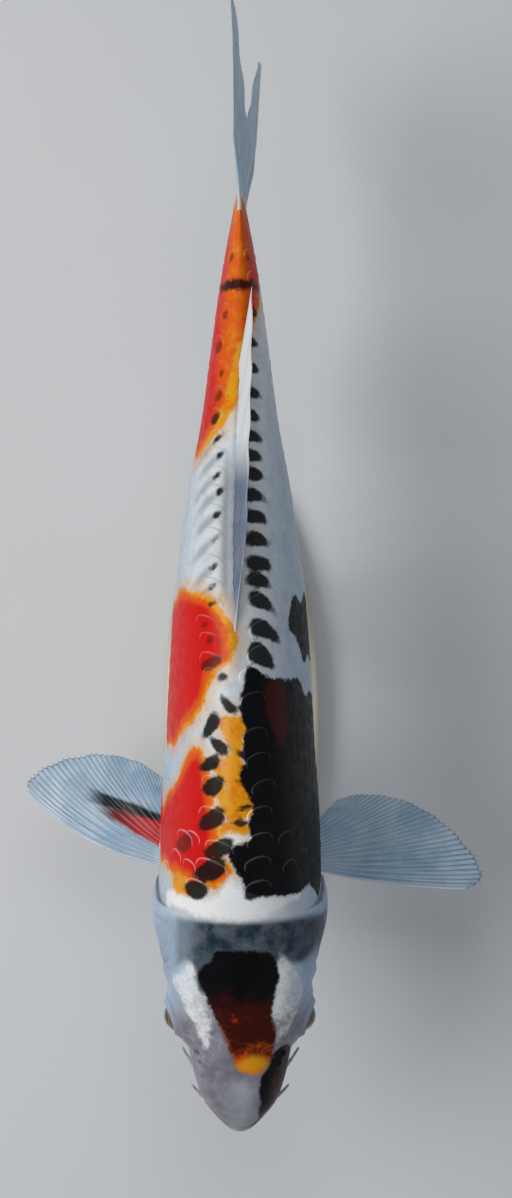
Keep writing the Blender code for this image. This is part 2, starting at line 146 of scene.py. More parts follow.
# The stand. A rod's foot is a stack of steps: each one's height, and its width in rods
BASE_LENGTH, BASE_WIDTH, BASE_HEIGHT, BASE_ROUNDING = 0.220, 0.070, 0.010, 0.0025
ROD_RADIUS, ROD_BURY = 0.004, 0.004
ROD_FOOT = ((0.0022, 1.75), (0.0010, 1.55), (0.0010, 1.0), (0.0020, 1.0))
ROD_STATIONS = {"front": 0.325, "rear": 0.560}

# Markings on the unrolled skin: thousandths of the length from the snout, and millimetres round
# the body from the ridge of the back, minus on the fish's right side
RED = (
    ((571, -49), (579, -34), (580, -23), (576, -14), (568, -6), (540, -1), (515, 0), (506, -3),
     (500, -8), (490, -11), (469, -14), (453, -20), (440, -29), (422, -42), (424, -56),
     (428, -80), (465, -95), (525, -90), (572, -70)),
    ((420, -17), (415, -24), (404, -28), (390, -33), (360, -47), (350, -75), (335, -95),
     (310, -92), (303, -60), (298, -43), (289, -32), (283, -23), (279, -13), (283, -7),
     (297, -3), (305, -6), (312, -10), (333, -8), (353, -10), (373, -12), (403, -14)),
    ((718, -24), (722, -30), (740, -44), (800, -46), (860, -40), (930, -34), (992, -30),
     (996, 30), (930, 26), (895, 16), (860, 6), (832, -1), (800, -3), (779, -4), (768, -6),
     (753, -8), (748, -10), (738, -15), (730, -19)),
)
YELLOW = (
    ((575, -48), (582, -21), (579, -10), (573, -5), (556, -1), (535, 3), (525, 3), (505, -2),
     (486, -10), (466, -13), (449, -19), (436, -28), (419, -42), (419, -65), (465, -99),
     (528, -94), (580, -72)),
    ((453, -7), (456, 0), (453, 5), (444, 7), (430, 4), (418, 2), (408, 1), (398, 4), (386, 5),
     (375, 5), (366, 7), (357, 8), (349, 6), (348, -2), (350, -9), (372, -9), (388, -9),
     (397, -10), (407, -10), (411, -6), (416, -3), (425, -4), (435, -6), (444, -7)),
    ((340, -9), (348, -4), (345, 3), (337, 6), (331, 2), (325, -3), (327, -7)),
    ((292, -38), (294, -30), (283, -23), (266, -21), (259, -24), (261, -31), (272, -36)),
    ((712, -24), (745, -5), (765, -1), (780, 2), (835, 3), (865, 9), (860, -3), (800, -6),
     (770, -9), (745, -15), (728, -26)),
)
SPOT = ((92, 1), (95, 5), (93, 10), (86, 12), (77, 10), (73, 5), (76, 0), (84, -2))
BLACK = (
    ((498, 4), (503, 8), (498, 12), (489, 18), (490, 29), (485, 39), (478, 60), (455, 84),
     (400, 92), (340, 90), (290, 78), (272, 52), (270, 32), (268, 19), (268, 9), (273, 3),
     (287, 1), (302, -3), (318, -4), (325, 1), (330, 5), (344, 3), (359, 5), (373, 4),
     (389, 0), (400, 1), (410, 4), (418, 1), (430, 2), (442, 4), (452, 1), (470, 2), (485, 4)),
    ((572, 36), (581, 42), (585, 60), (575, 95), (520, 98), (510, 72), (519, 50), (526, 38),
     (538, 31), (556, 32)),
    ((104, 16), (102, 26), (79, 35), (61, 32), (35, 26), (17, 16), (10, 9), (20, 8), (47, 8),
     (67, 8), (79, 11), (88, 13)),
)
WINE = (
    ((490, 13), (487, 24), (473, 27), (438, 26), (419, 23), (423, 18), (440, 16), (455, 13),
     (471, 13)),
    ((75, 17), (78, 24), (62, 25), (44, 20), (44, 14), (60, 12)),
    ((206, -41), (206, -44), (190, -46), (168, -44), (172, -41), (190, -42)),
)
# The nape band, partly the skin's own grey and partly painted shade where it reaches round the
# fish's left side
TEAL = ((240, -46), (254, -29), (247, -18), (242, -6), (242, 4), (247, 13), (255, 20), (262, 28),
        (258, 40), (250, 56), (218, 56), (196, 36), (195, 24), (200, 17), (195, 12), (195, -5),
        (188, -11), (168, -13), (164, -17), (188, -18), (202, -21), (190, -28), (180, -34),
        (190, -42), (217, -48))
MASK = ((211, -10), (213, -3), (211, 4), (209, 12), (202, 15), (185, 16), (167, 15), (152, 13),
        (140, 12), (127, 15), (111, 15), (92, 13), (76, 10), (72, 4), (77, -1), (90, -3),
        (106, -4), (122, -7), (140, -10), (155, -13), (170, -16), (188, -17), (195, -14),
        (198, -11))
BRIGHT = (
    ((277, -43), (269, -30), (265, -21), (265, -12), (271, -7), (283, -5), (291, -3),
     (282, -1), (271, 2), (268, 7), (273, 11), (267, 19), (272, 28), (265, 30), (259, 21),
     (252, 14), (246, 8), (243, 0), (244, -6), (246, -13), (252, -21), (253, -32), (257, -40)),
    ((202, -21), (197, -18), (185, -18), (172, -17), (155, -15), (136, -12), (118, -11),
     (98, -13), (104, -15), (123, -18), (137, -22), (157, -27), (168, -32), (179, -32),
     (183, -26), (192, -22)),
    ((209, 16), (196, 20), (178, 27), (166, 30), (150, 28), (133, 24), (115, 20), (97, 16),
     (104, 14), (117, 15), (130, 15), (140, 12), (152, 13), (167, 15), (188, 16), (200, 15)),
    ((336, -5), (333, 1), (332, 4), (329, 6), (326, 1), (320, -4), (322, -7)),
)

# The big scales beside the ridge, as station, millimetres from the ridge, the length, width and
# darkness of the dark mark at each root, and how far it is turned where that isn't the usual
MARK_TURN = {"right": 0.95, "left": 1.75}
ROWS = {
    "right": (
        (930, -5, 4, 2, 0.5), (900, -7, 4, 3, 0.5), (870, -7, 4, 3, 0.5), (836, -10, 6, 4, 0.5),
        (808, -7, 3, 2, 0.5), (784, -8, 5, 3, 0.5), (760, -9, 7, 3.6, 0.7),
        (738, -7, 6.5, 2.2, 0.9), (721, -5, 4, 2.4, 0.9), (699, -6, 5, 2.2, 1),
        (682, -4.5, 3.6, 2.6, 0.9), (659, -5, 4, 2.4, 1), (633, -6, 5, 2, 0.5),
        (605, -6, 4, 2.4, 0.9), (584, -7, 4.6, 2, 0.7), (567, -7, 4, 2.2, 0.9),
        (545, -11, 4.5, 2.2, 0.5), (530, -9, 4, 2.4, 0.5), (507, -9.6, 11, 4, 0.6, 1.17),
        (494, -4.5, 4.2, 3, 0.7, 1.31), (465, -2.6, 9.5, 3.8, 1, 2.38),
        (444, -11, 12, 5, 1, 0.68), (424, -7.5, 10, 4.4, 1, 2.09), (405, -12.6, 11.5, 4.6, 1, 1.15),
        (382, -11.3, 12.5, 6.2, 1, 1.13), (348, -11.7, 14.5, 6.8, 0.8, 1.02),
        (415, 2.9, 8, 3.2, 1, 1.95), (392, 2.8, 6.5, 2.4, 0.9, 1.1), (362, 2.6, 8, 2.4, 0.9, 1.25),
        (347, 0.3, 6, 2.4, 0.7, 1.57), (321, -27.4, 13, 6.5, 0.5, 1.25),
        (319, -8.5, 13.5, 5.8, 0.8, 1.2), (296, -12.2, 16, 7.6, 1, 1.16),
        (275, -18.7, 13.5, 6.6, 1, 1.59),
    ),
    "left": (
        (930, 5, 4, 2, 0.5), (905, 7, 4, 3, 0.5), (872, 8, 5, 3, 0.7), (840, 8, 6, 3, 1),
        (812, 8, 7, 3.2, 1), (786, 9, 8, 3.4, 1), (762, 9, 9, 3.6, 1), (740, 9.5, 9.5, 3.8, 1),
        (720, 10, 10, 4, 1), (700, 10.5, 11, 4.2, 1), (678, 11, 12, 4.4, 1),
        (656, 12, 13, 4.6, 1), (632, 13, 14, 4.8, 1), (608, 14, 14.5, 5, 1, 1.75),
        (590, 13.4, 12.8, 4.6, 1, 1.82), (568, 14.6, 15.2, 5.2, 1, 1.93),
        (539, 15.5, 17, 5.8, 1, 1.93), (513, 13, 14.5, 6.8, 1, 2.06), (495, 8, 7, 5, 1),
        (465, 7, 6, 6, 1), (429, 8, 8, 9, 1), (405, 9, 8, 6, 1), (376, 11, 5, 4, 1),
        (349, 9, 6, 6, 1), (322, 9, 7, 6, 1), (300, 6, 8, 6, 1), (273, 6, 8.5, 4.6, 1, 1.45),
    ),
}


def measure(name, words, value, low, high):
    return FloatProperty(
        name=name, description=words, default=value, min=low, max=high, unit="LENGTH")


class KoiSizes(bpy.types.PropertyGroup):
    skin_depth: measure("Skin depth", "How far the bare skin lies inside the solid",
                        0.0004, 0.0, 0.002)
    skin_sides: IntProperty(
        name="Skin sides", description="Columns of the skin round the body",
        default=248, min=48, max=260)
    eye_radius: measure("Eye radius", "Radius of the eyeball", 0.0062, 0.003, 0.009)
    scale_length: measure("Scale length", "Length of a big scale beside the dorsal fin",
                          0.0120, 0.004, 0.018)
    scale_width: measure("Scale width", "Width of a big scale beside the dorsal fin",
                         0.0132, 0.004, 0.018)
    scale_lift: measure("Scale lift", "How far a scale's free edge stands over the skin",
                        0.00034, 0.0001, 0.0012)
    fin_root: measure("Fin root", "Thickness of the fins at their roots", 0.0018, 0.0006, 0.003)
    fin_edge: measure("Fin edge", "Thickness of the fins near their free edges",
                      0.00045, 0.0002, 0.001)
    camera_height: measure("Camera height", "Height of the camera over the fish's middle",
                           0.86, 0.3, 3.0)


def colour(name, words, value):
    return FloatVectorProperty(
        name=name, description=words, default=value, subtype="COLOR", size=3, min=0.0, max=1.0)


class KoiColours(bpy.types.PropertyGroup):
    white: colour("White", "Ground of the skin", (0.70, 0.745, 0.77))
    bright: colour("Bright white", "Nape, cheeks and scale edges", (0.90, 0.91, 0.92))
    # Teal grey of the nape band, partly its own grey and partly painted shade; it also paints the
    # shade along the folded dorsal fin's root
    teal: colour("Teal grey", "Nape band of the head", (0.012, 0.030, 0.050))
    lavender: colour("Lavender", "Snout and forehead", (0.205, 0.185, 0.235))
    # Painted bluish shade and reflection on the flanks and the gill covers' rims
    blue: colour("Blue", "Cool tint of the flanks", (0.27, 0.43, 0.64))
    yellow: colour("Yellow", "Fringe of the red patches", (0.80, 0.34, 0.008))
    orange: colour("Orange", "Edge of the red patches", (0.78, 0.115, 0.003))
    red: colour("Red", "Middle of the red patches", (0.68, 0.004, 0.002))
    wine: colour("Wine", "Red with black under it", (0.050, 0.005, 0.002))
    black: colour("Black", "Black marks", (0.002, 0.002, 0.003))
    # The clear skin between the fin rays, tinted bluish as painted light coming through it
    membrane: colour("Membrane", "Skin between the fin rays", (0.17, 0.36, 0.54))
    ray: colour("Ray", "Bony rays of the fins", (0.62, 0.73, 0.82))
    rose: colour("Rose", "Blush round the fins' roots and the gills", (0.62, 0.30, 0.28))
    # Cool grey: clouds of the white skin, and also the painted shadows behind the scales and
    # painted shade on the folded dorsal fin's rays
    grey: colour("Cool grey", "Clouds and creases of the white skin", (0.22, 0.25, 0.30))
    # Painted shade on the folded dorsal fin's outer face
    shade_slate: colour("Slate", "The folded dorsal fin", (0.075, 0.105, 0.20))
    # Painted shade in the folds, nostrils and gill opening
    crease_shade: colour("Crease", "Folds, nostrils and the gill opening", (0.035, 0.026, 0.030))
    iris: colour("Iris", "Dark threads of the iris", (0.11, 0.055, 0.018))
    iris_threads: colour("Iris threads", "Pale threads of the iris", (0.24, 0.12, 0.035))
    iris_ring: colour("Iris ring", "Thin ring round the pupil", (0.30, 0.18, 0.06))
    eye_rim: colour("Eye rim", "Outer edge of the eyeball", (0.05, 0.045, 0.05))
    wood: colour("Wood", "Pale lacquered wood of the base", (0.66, 0.60, 0.50))
    steel: colour("Steel", "Brushed steel of the rods", (0.58, 0.58, 0.60))
    floor: colour("Floor", "Studio floor", (0.72, 0.73, 0.74))


def sizes():
    return bpy.context.scene.koi_sizes


def colours():
    return bpy.context.scene.koi_colours


# ---------------------------------------------------------------- shape of the body

def smooth(low, high, value):
    share = np.clip((value - low) / (high - low), 0.0, 1.0)
    return share * share * (3.0 - 2.0 * share)


def bell(value, width):
    return np.exp(-(value / width) ** 2)


def fine_columns():
    """PROFILE on smooth curves over the root of the station, which makes the snout round."""
    knots = np.sqrt(PROFILE[:, 0])
    place = np.linspace(0.0, 1.0, 4001)
    i = np.clip(np.searchsorted(knots, place, side="right") - 1, 0, len(knots) - 2)
    span = knots[i + 1] - knots[i]
    t = (place - knots[i]) / span
    fine = []
    for number in range(1, 7):
        values = PROFILE[:, number]
        padded_v = np.concatenate((values[:1], values, values[-1:]))
        padded_k = np.concatenate((knots[:1], knots, knots[-1:]))
        slope = (padded_v[2:] - padded_v[:-2]) / (padded_k[2:] - padded_k[:-2])
        square, cube = t * t, t * t * t
        fine.append(
            values[i] * (2 * cube - 3 * square + 1) + values[i + 1] * (3 * square - 2 * cube)
            + slope[i] * span * (cube - 2 * square + t) + slope[i + 1] * span * (cube - square)
        )
    return place, fine


FINE_PLACE, FINE = fine_columns()


def station_y(station):
    return (station - BALANCE) * LENGTH


def signed_power(value, power):
    return np.sign(value) * np.abs(value) ** power


def body(station, angle, grow=0.0):
    """Points on the plain body. Angle 0 is the fish's left side and 90 degrees its back."""
    station, angle = np.broadcast_arrays(np.asarray(station, float), np.asarray(angle, float))
    place = np.sqrt(np.clip(station, 0.0, 1.0))
    width, back, belly, waist, above, below = (np.interp(place, FINE_PLACE, c) for c in FINE)
    width, back, belly, waist = (v * LENGTH for v in (width, back, belly, waist))
    lift = np.sin(angle)
    power = 2.0 / np.where(lift > 0, above, below)
    height = np.where(lift > 0, back - waist, waist - belly)
    across = (width + grow) * signed_power(np.cos(angle), power)
    up = waist + (height + grow) * signed_power(lift, power)
    share = np.clip((station - ROLL_SPAN[0]) / (ROLL_SPAN[1] - ROLL_SPAN[0]), 0.0, 1.0)
    roll = ROLL * np.sin(math.pi * share) ** 2
    return np.stack((across + roll * up, station_y(station), AXIS + up), axis=-1)


def body_normal(station, angle):
    step = 1e-3
    along = body(np.clip(station + step, 0.0, 1.0), angle) - body(
        np.clip(station - step, 0.0005, 1.0), angle)
    around = body(station, angle + step * 4) - body(station, angle - step * 4)
    normal = np.cross(along, around)
    size = np.linalg.norm(normal, axis=-1, keepdims=True)
    return np.where(size > 1e-15, normal / np.maximum(size, 1e-15), (0.0, -1.0, 0.0))


def cover_edge(angle):
    """The station of the gill opening's edge at an angle."""
    lift = np.sin(angle)
    line = GILL_SIDE - (GILL_SIDE - np.where(lift > 0, GILL_NAPE, GILL_THROAT)) * lift * lift
    side_angle = np.arctan2(np.sin(angle), np.abs(np.cos(angle)))
    share = np.clip((side_angle - COVER_ANGLE) / COVER_REACH[1], -1.0, 1.0)
    round_edge = COVER_STATION + COVER_REACH[0] * np.sqrt(1.0 - share * share)
    gap = round_edge - line
    return line + 0.5 * (gap + np.sqrt(gap * gap + 0.004 ** 2))


def eye_frame(side):
    """Centre and outward direction of an eye."""
    centre = np.array((side * EYE_OUT * LENGTH, station_y(EYE_STATION),
                       AXIS + EYE_HEIGHT * LENGTH))
    out = np.array((side, *EYE_TURN))
    return centre, out / np.linalg.norm(out)


def mouth_gap(station, point):
    """Height over the line of the mouth, in metres."""
    share = (station / MOUTH_CORNER[0]) ** 0.65
    line = (MOUTH_TIP + (MOUTH_CORNER[1] - MOUTH_TIP) * share) * LENGTH
    return point[..., 2] - AXIS - line


def landmarks(station, angle, point):
    """Turns from the side and the ridge, the flanks' share, and distances in millimetres.

    The distances are from the gill opening, the cheek's groove, the mouth and the nostrils.
    """
    side_angle = np.arctan2(np.sin(angle), np.abs(np.cos(angle)))
    ridge_turn = np.abs(np.abs(np.degrees(angle) - 90.0))
    pits = [np.hypot((station - middle) * LENGTH / MM, (ridge_turn - turn) * 0.30)
            for middle, turn in NOSTRILS]
    return {
        "side": side_angle, "ridge": ridge_turn,
        "flank": smooth(0.82, 0.30, side_angle) * smooth(-1.45, -0.90, side_angle),
        "ahead": (cover_edge(angle) - station) * LENGTH / MM,
        "cheek": (0.181 + 0.020 * (side_angle + 0.3) ** 2 - station) * LENGTH / MM,
        "gap": mouth_gap(station, point) / MM,
        "pits": pits,
    }


def eye_distances(point):
    """Distances in millimetres from the nearer eye's axis, and how far below its middle."""
    away = np.full(point.shape[:-1], 99.0)
    below = np.zeros(point.shape[:-1])
    for side in SIDES.values():
        centre, axis = eye_frame(side)
        offset = point - centre
        depth = offset @ axis
        here = np.linalg.norm(offset - depth[..., None] * axis, axis=-1) / MM
        near = (depth > -0.02) & (here < away)
        away = np.where(near, here, away)
        below = np.where(near, -offset[..., 2] / MM, below)
    return away, below


def beyond(station, start, end):
    """How far a station lies past either end of a stretch, in millimetres."""
    return np.maximum(np.maximum(start - station, station - end), 0.0) * LENGTH / MM


def humps(rows):
    """Ridges and grooves: height, distance from a line or spot, where on it, width and share."""
    return [height * share * bell(distance - place, width)
            for height, distance, place, width, share in rows]


def relief(station, angle, point):
    """How far the skin stands out from the plain body at each point, in metres."""
    mark = landmarks(station, angle, point)
    side_angle, ridge, flank, ahead, cheek, gap, pits = mark.values()
    away, below = eye_distances(point)
    radius = sizes().eye_radius / MM
    along = station * LENGTH / MM

    # Gill covers: a bony plate with a soft rim and fine spokes, the body stepping down behind it,
    # a plate below, and folds over the throat
    plate = smooth(-0.02, 0.25, ahead) * 0.60 + smooth(2.2, 4.2, ahead) * 0.70
    plate *= 1.0 - smooth(9.0, 26.0, ahead)
    behind = np.where(ahead < 0.0, bell(ahead, 5.0), 0.0)
    out = flank * (plate - 0.7 * behind)
    out += (1 - flank) * (0.10 * smooth(-0.3, 0.5, ahead) * (1 - smooth(0.5, 12, ahead)))
    spokes = np.arctan2(side_angle - 0.55, (station - 0.178) * 9.0)
    out += 0.075 * flank * np.cos(spokes * 34.0) * smooth(5.5, 8.0, ahead) * smooth(
        -1.0, -3.0, cheek)
    throat = smooth(-0.75, -1.2, side_angle)
    out += 0.28 * throat * np.cos(ahead * 1.5) * smooth(1, 3, ahead) * smooth(13, 8, ahead)
    low_plate = side_angle + 0.62 + 2.2 * (station - 0.2)
    rows = [
        (-0.45, ahead, 5.4, 0.7, flank), (-0.60, cheek, 0.0, 1.0, flank),
        (0.55, cheek, 3.0, 2.4, flank),
        (-0.40, low_plate, 0.0, 0.035, smooth(0.19, 0.20, station) * smooth(3, 5, ahead)),
    ]

    # Mouth: two full lips round a slit, folds over the upper lip and one under the lower, the
    # corner's swelling and the hollow of the jaw
    front = smooth(0.060, 0.030, station)
    corner = np.hypot(along - 0.054 * LENGTH / MM, gap + 0.6)
    jaw = np.hypot((along - 0.085 * LENGTH / MM) * 0.5, gap + 9.0)
    rows += [
        (1.45, np.abs(gap), 1.8, 1.3, front), (-2.3, gap, 0.0, 0.5, front),
        (-0.85, gap, 4.0, 0.8, smooth(0.075, 0.05, station)),
        (-0.65, gap, -4.3, 0.9, smooth(0.085, 0.05, station)),
        (-0.30, gap, 6.6, 0.7, smooth(0.070, 0.04, station)),
        (0.7, corner, 0.0, 3.2, 1.0), (-0.5, jaw, 0.0, 2.2, smooth(-1.2, -0.8, side_angle)),
    ]

    # Nostrils: two pits on each side with a flap of skin between them
    flap = np.hypot((along - NOSTRIL_MIDDLE[0] * LENGTH / MM) * 1.5,
                    (ridge - NOSTRIL_MIDDLE[1]) * 0.26)
    rows.append((0.65, flap, 0.0, 1.0, 1.0))
    for pit, deep, wide in zip(pits, (1.0, 1.3), (0.9, 1.15)):
        rows += [(-deep, pit, 0.0, wide, 1.0), (0.30, pit, wide * 1.7, 0.5, 1.0)]

    # Eyes: a low mound of skin, a lid fold round the ball, the socket, and the bones below
    out += 2.7 * smooth(14.0, radius * 0.9, away)
    out -= 4.6 * smooth(radius * 0.93, radius * 0.83, away)
    under = smooth(-2.0, 4.0, below)
    rows += [
        (0.55, away, radius * 1.06, 0.75, 1.0), (-0.50, away, radius * 1.42, 0.7, 1.0),
        (-0.38, away, radius * 2.15, 0.9, under), (0.20, away, radius * 1.75, 1.2, under),
    ]

    # Skull: a shallow trough along each side of the forehead's ridge, and a row of pores
    pores = 0.6 + 0.4 * np.cos(along * 1.45)
    head = smooth(0.07, 0.1, station) * smooth(0.2, 0.17, station)
    rows += [
        (-0.6, ridge, 20.0, 9.0, smooth(0.09, 0.13, station) * smooth(0.235, 0.19, station)),
        (0.40, ridge, 0.0, 9.0, smooth(0.10, 0.14, station) * smooth(0.240, 0.20, station)),
        (-0.16, side_angle, -0.75, 0.05, head * pores),
    ]

    # Lateral line, muscle bands under the skin, and swellings round the fins' roots
    trunk = smooth(0.275, 0.30, station) * smooth(0.99, 0.95, station)
    bend = np.abs(np.abs(side_angle - 0.03) - 0.45)
    bands = np.cos((along + bend * 14.0) * 1.05)
    out += 0.055 * trunk * bands * smooth(1.3, 0.9, np.abs(side_angle))
    rows.append((-0.14, side_angle, 0.03, 0.02, trunk))
    for base, turn, reach, height, width in (
            (PECTORAL["root"], PECTORAL["angle"], 26.0, 1.5, 3.6),
            (PELVIC["root"], PELVIC["angle"], 26.0, 1.5, 3.6),
            (DORSAL_BASE, math.pi / 2, 24.0, 0.9, 3.0), (ANAL_BASE, -math.pi / 2, 24.0, 0.9, 3.0)):
        near = np.hypot(beyond(station, *base), (side_angle - turn) * reach)
        rows.append((height, near, 0.0, width, 1.0))
    return (out + sum(humps(rows))) * MM - sizes().skin_depth


def creases(station, angle):
    """Shades of the folds, from 0 to 1: painted shade in the creases and pits, the gill covers'
    rims, which take a painted bluish reflection, and blush.
    """
    point = body(station, angle)
    side_angle, _, flank, ahead, cheek, gap, pits = landmarks(station, angle, point).values()
    away, _ = eye_distances(point)
    radius = sizes().eye_radius / MM
    front = smooth(0.064, 0.040, station)
    # Painted shade in the gill slit, the cheek's groove, the mouth's slit, the nostril pits and the
    # grooves round the eyes
    dark = humps((
        (0.95, ahead, -0.25, 0.55, flank), (0.30, ahead, -1.6, 1.6, flank),
        (0.35, ahead, 5.4, 0.6, flank), (0.40, cheek, 0.0, 0.8, flank),
        (0.95, gap, 0.0, 0.55, front), (0.35, gap, 4.0, 0.6, front),
        (0.90, pits[0], 0.0, 0.8, 1.0), (0.95, pits[1], 0.0, 1.0, 1.0),
        (0.75, away, radius * 0.93, 0.6, 1.0), (0.30, away, radius * 1.42, 0.6, 1.0)))
    # The gill covers' rims, which the skin tints with the painted bluish reflection
    rim = flank * smooth(0.1, 0.7, ahead) * smooth(4.6, 3.0, ahead)
    roots = ((PECTORAL["root"], PECTORAL["angle"]), (PELVIC["root"], PELVIC["angle"]),
             (ANAL_BASE, -math.pi / 2))
    near = [np.hypot(beyond(station, *base), (side_angle - turn) * 26.0) for base, turn in roots]
    cheek_flush = flank * smooth(0.5, -0.4, side_angle)
    blush = humps([(0.55, distance, 0.0, 7.0, 1.0) for distance in near] + [
        (0.45, ahead, -4.0, 4.0, cheek_flush), (0.35, np.abs(gap), 1.6, 1.0, front)])
    return np.max(dark, axis=0), rim, np.max(blush, axis=0)


def skin(station, angle, extra=0.0):
    """Points on the modelled skin, or a little over it."""
    station, angle = np.broadcast_arrays(np.asarray(station, float), np.asarray(angle, float))
    point = body(station, angle)
    height = relief(station, angle, point) + extra
    return point + body_normal(station, angle) * height[..., None]


ARC_ROWS, ARC_STEPS = 200, 480


def arc_table():
    """Lengths round the body from the ridge of the back, by station and angle."""
    stations = np.linspace(0.0, 1.0, ARC_ROWS + 1)
    angles = np.linspace(-math.pi / 2, math.pi * 1.5, ARC_STEPS + 1)
    points = body(stations[:, None], angles[None, :])
    steps = np.linalg.norm(np.diff(points, axis=1), axis=2)
    arcs = np.concatenate((np.zeros((ARC_ROWS + 1, 1)), np.cumsum(steps, axis=1)), axis=1)
    ridge = ARC_STEPS // 2
    return angles, arcs[:, ridge:ridge + 1] - arcs


ARC_ANGLES, ARCS = arc_table()


def arc_at(station, angle):
    """Signed length round the body from the ridge, plus on the fish's left side."""
    row = np.clip(station, 0.0, 1.0) * ARC_ROWS
    i = np.clip(row.astype(int), 0, ARC_ROWS - 1)
    column = np.clip((angle - ARC_ANGLES[0]) / (ARC_ANGLES[1] - ARC_ANGLES[0]), 0, ARC_STEPS)
    j = np.clip(column.astype(int), 0, ARC_STEPS - 1)
    f, g = row - i, column - j
    low = ARCS[i, j] * (1 - g) + ARCS[i, j + 1] * g
    high = ARCS[i + 1, j] * (1 - g) + ARCS[i + 1, j + 1] * g
    return low * (1 - f) + high * f


def angle_at(station, arc):
    """The angle at a length round the body from the ridge."""
    row = min(max(station, 0.0), 1.0) * ARC_ROWS
    i = min(int(row), ARC_ROWS - 1)
    arcs = ARCS[i] + (ARCS[i + 1] - ARCS[i]) * (row - i)
    return np.interp(-arc, -arcs, ARC_ANGLES)


# ---------------------------------------------------------------- markings

def rounded(outline):
    """A closed outline in millimetres with its corners cut twice, so that it runs in curves."""
    points = np.array(outline, float) * (LENGTH, 1.0)
    for _ in range(2):
        ahead = np.roll(points, -1, axis=0)
        points = np.stack((points * 0.75 + ahead * 0.25, points * 0.25 + ahead * 0.75), axis=1)
        points = points.reshape(-1, 2)
    return points


def inside(outline, along, arc):
    """Distance in millimetres inside a closed outline, minus outside it."""
    points = rounded(outline)
    nearest = np.full(along.shape, 1e9)
    within = np.zeros(along.shape, bool)
    for (ax, ay), (bx, by) in zip(points, np.roll(points, -1, axis=0)):
        ex, ey = bx - ax, by - ay
        t = np.clip(((along - ax) * ex + (arc - ay) * ey) / (ex * ex + ey * ey), 0.0, 1.0)
        nearest = np.minimum(nearest, np.hypot(along - ax - t * ex, arc - ay - t * ey))
        crosses = (ay > arc) != (by > arc)
        with np.errstate(divide="ignore", invalid="ignore"):
            cut = ax + (arc - ay) / (by - ay) * ex
        within ^= crosses & (along < cut)
    return np.where(within, nearest, -nearest)


def marks_near(along, arc):
    """Distance inside the nearest dark scale mark, its darkness, and the painted shadows that the
    scales on the fish's right side cast behind them.
    """
    best = np.full(along.shape, -30.0)
    dark = np.zeros(along.shape)
    streak = np.full(along.shape, -30.0)
    for side, rows in ROWS.items():
        for station, across, length, width, tone, *turned in rows:
            turn = turned[0] if turned else MARK_TURN[side]
            y, x = arc - across, along - station * LENGTH
            long_way = x * math.cos(turn) + y * math.sin(turn)
            short_way = y * math.cos(turn) - x * math.sin(turn)
            a, b = length / 2, width / 2
            if side == "left":
                short_way = short_way - 0.012 * long_way ** 2 + 0.3
                b, power = b * (1.12 - 0.42 * np.clip(long_way / a, -1.0, 1.0)), 2.6
            elif turned:
                short_way = short_way + 0.020 * long_way ** 2 - 0.4
                b, power = b * (1.05 + 0.25 * np.clip(long_way / a, -1.0, 1.0)), 2.0
            else:
                power = 1.9
            inner = (1.0 - (np.abs(long_way / a) ** power + np.abs(short_way / b) ** power) ** (
                1.0 / power)) * np.minimum(a, b)
            near = inner > best
            best, dark = np.where(near, inner, best), np.where(near, tone, dark)
            # A painted shadow behind each scale on the right side
            if side == "right" and 560 < station < 745:
                shadow_way = long_way + a + 4.5
                tail = (1.0 - np.hypot(shadow_way / 8.0, short_way / 1.7)) * 1.7
                streak = np.maximum(streak, tail)
    return best, dark, streak


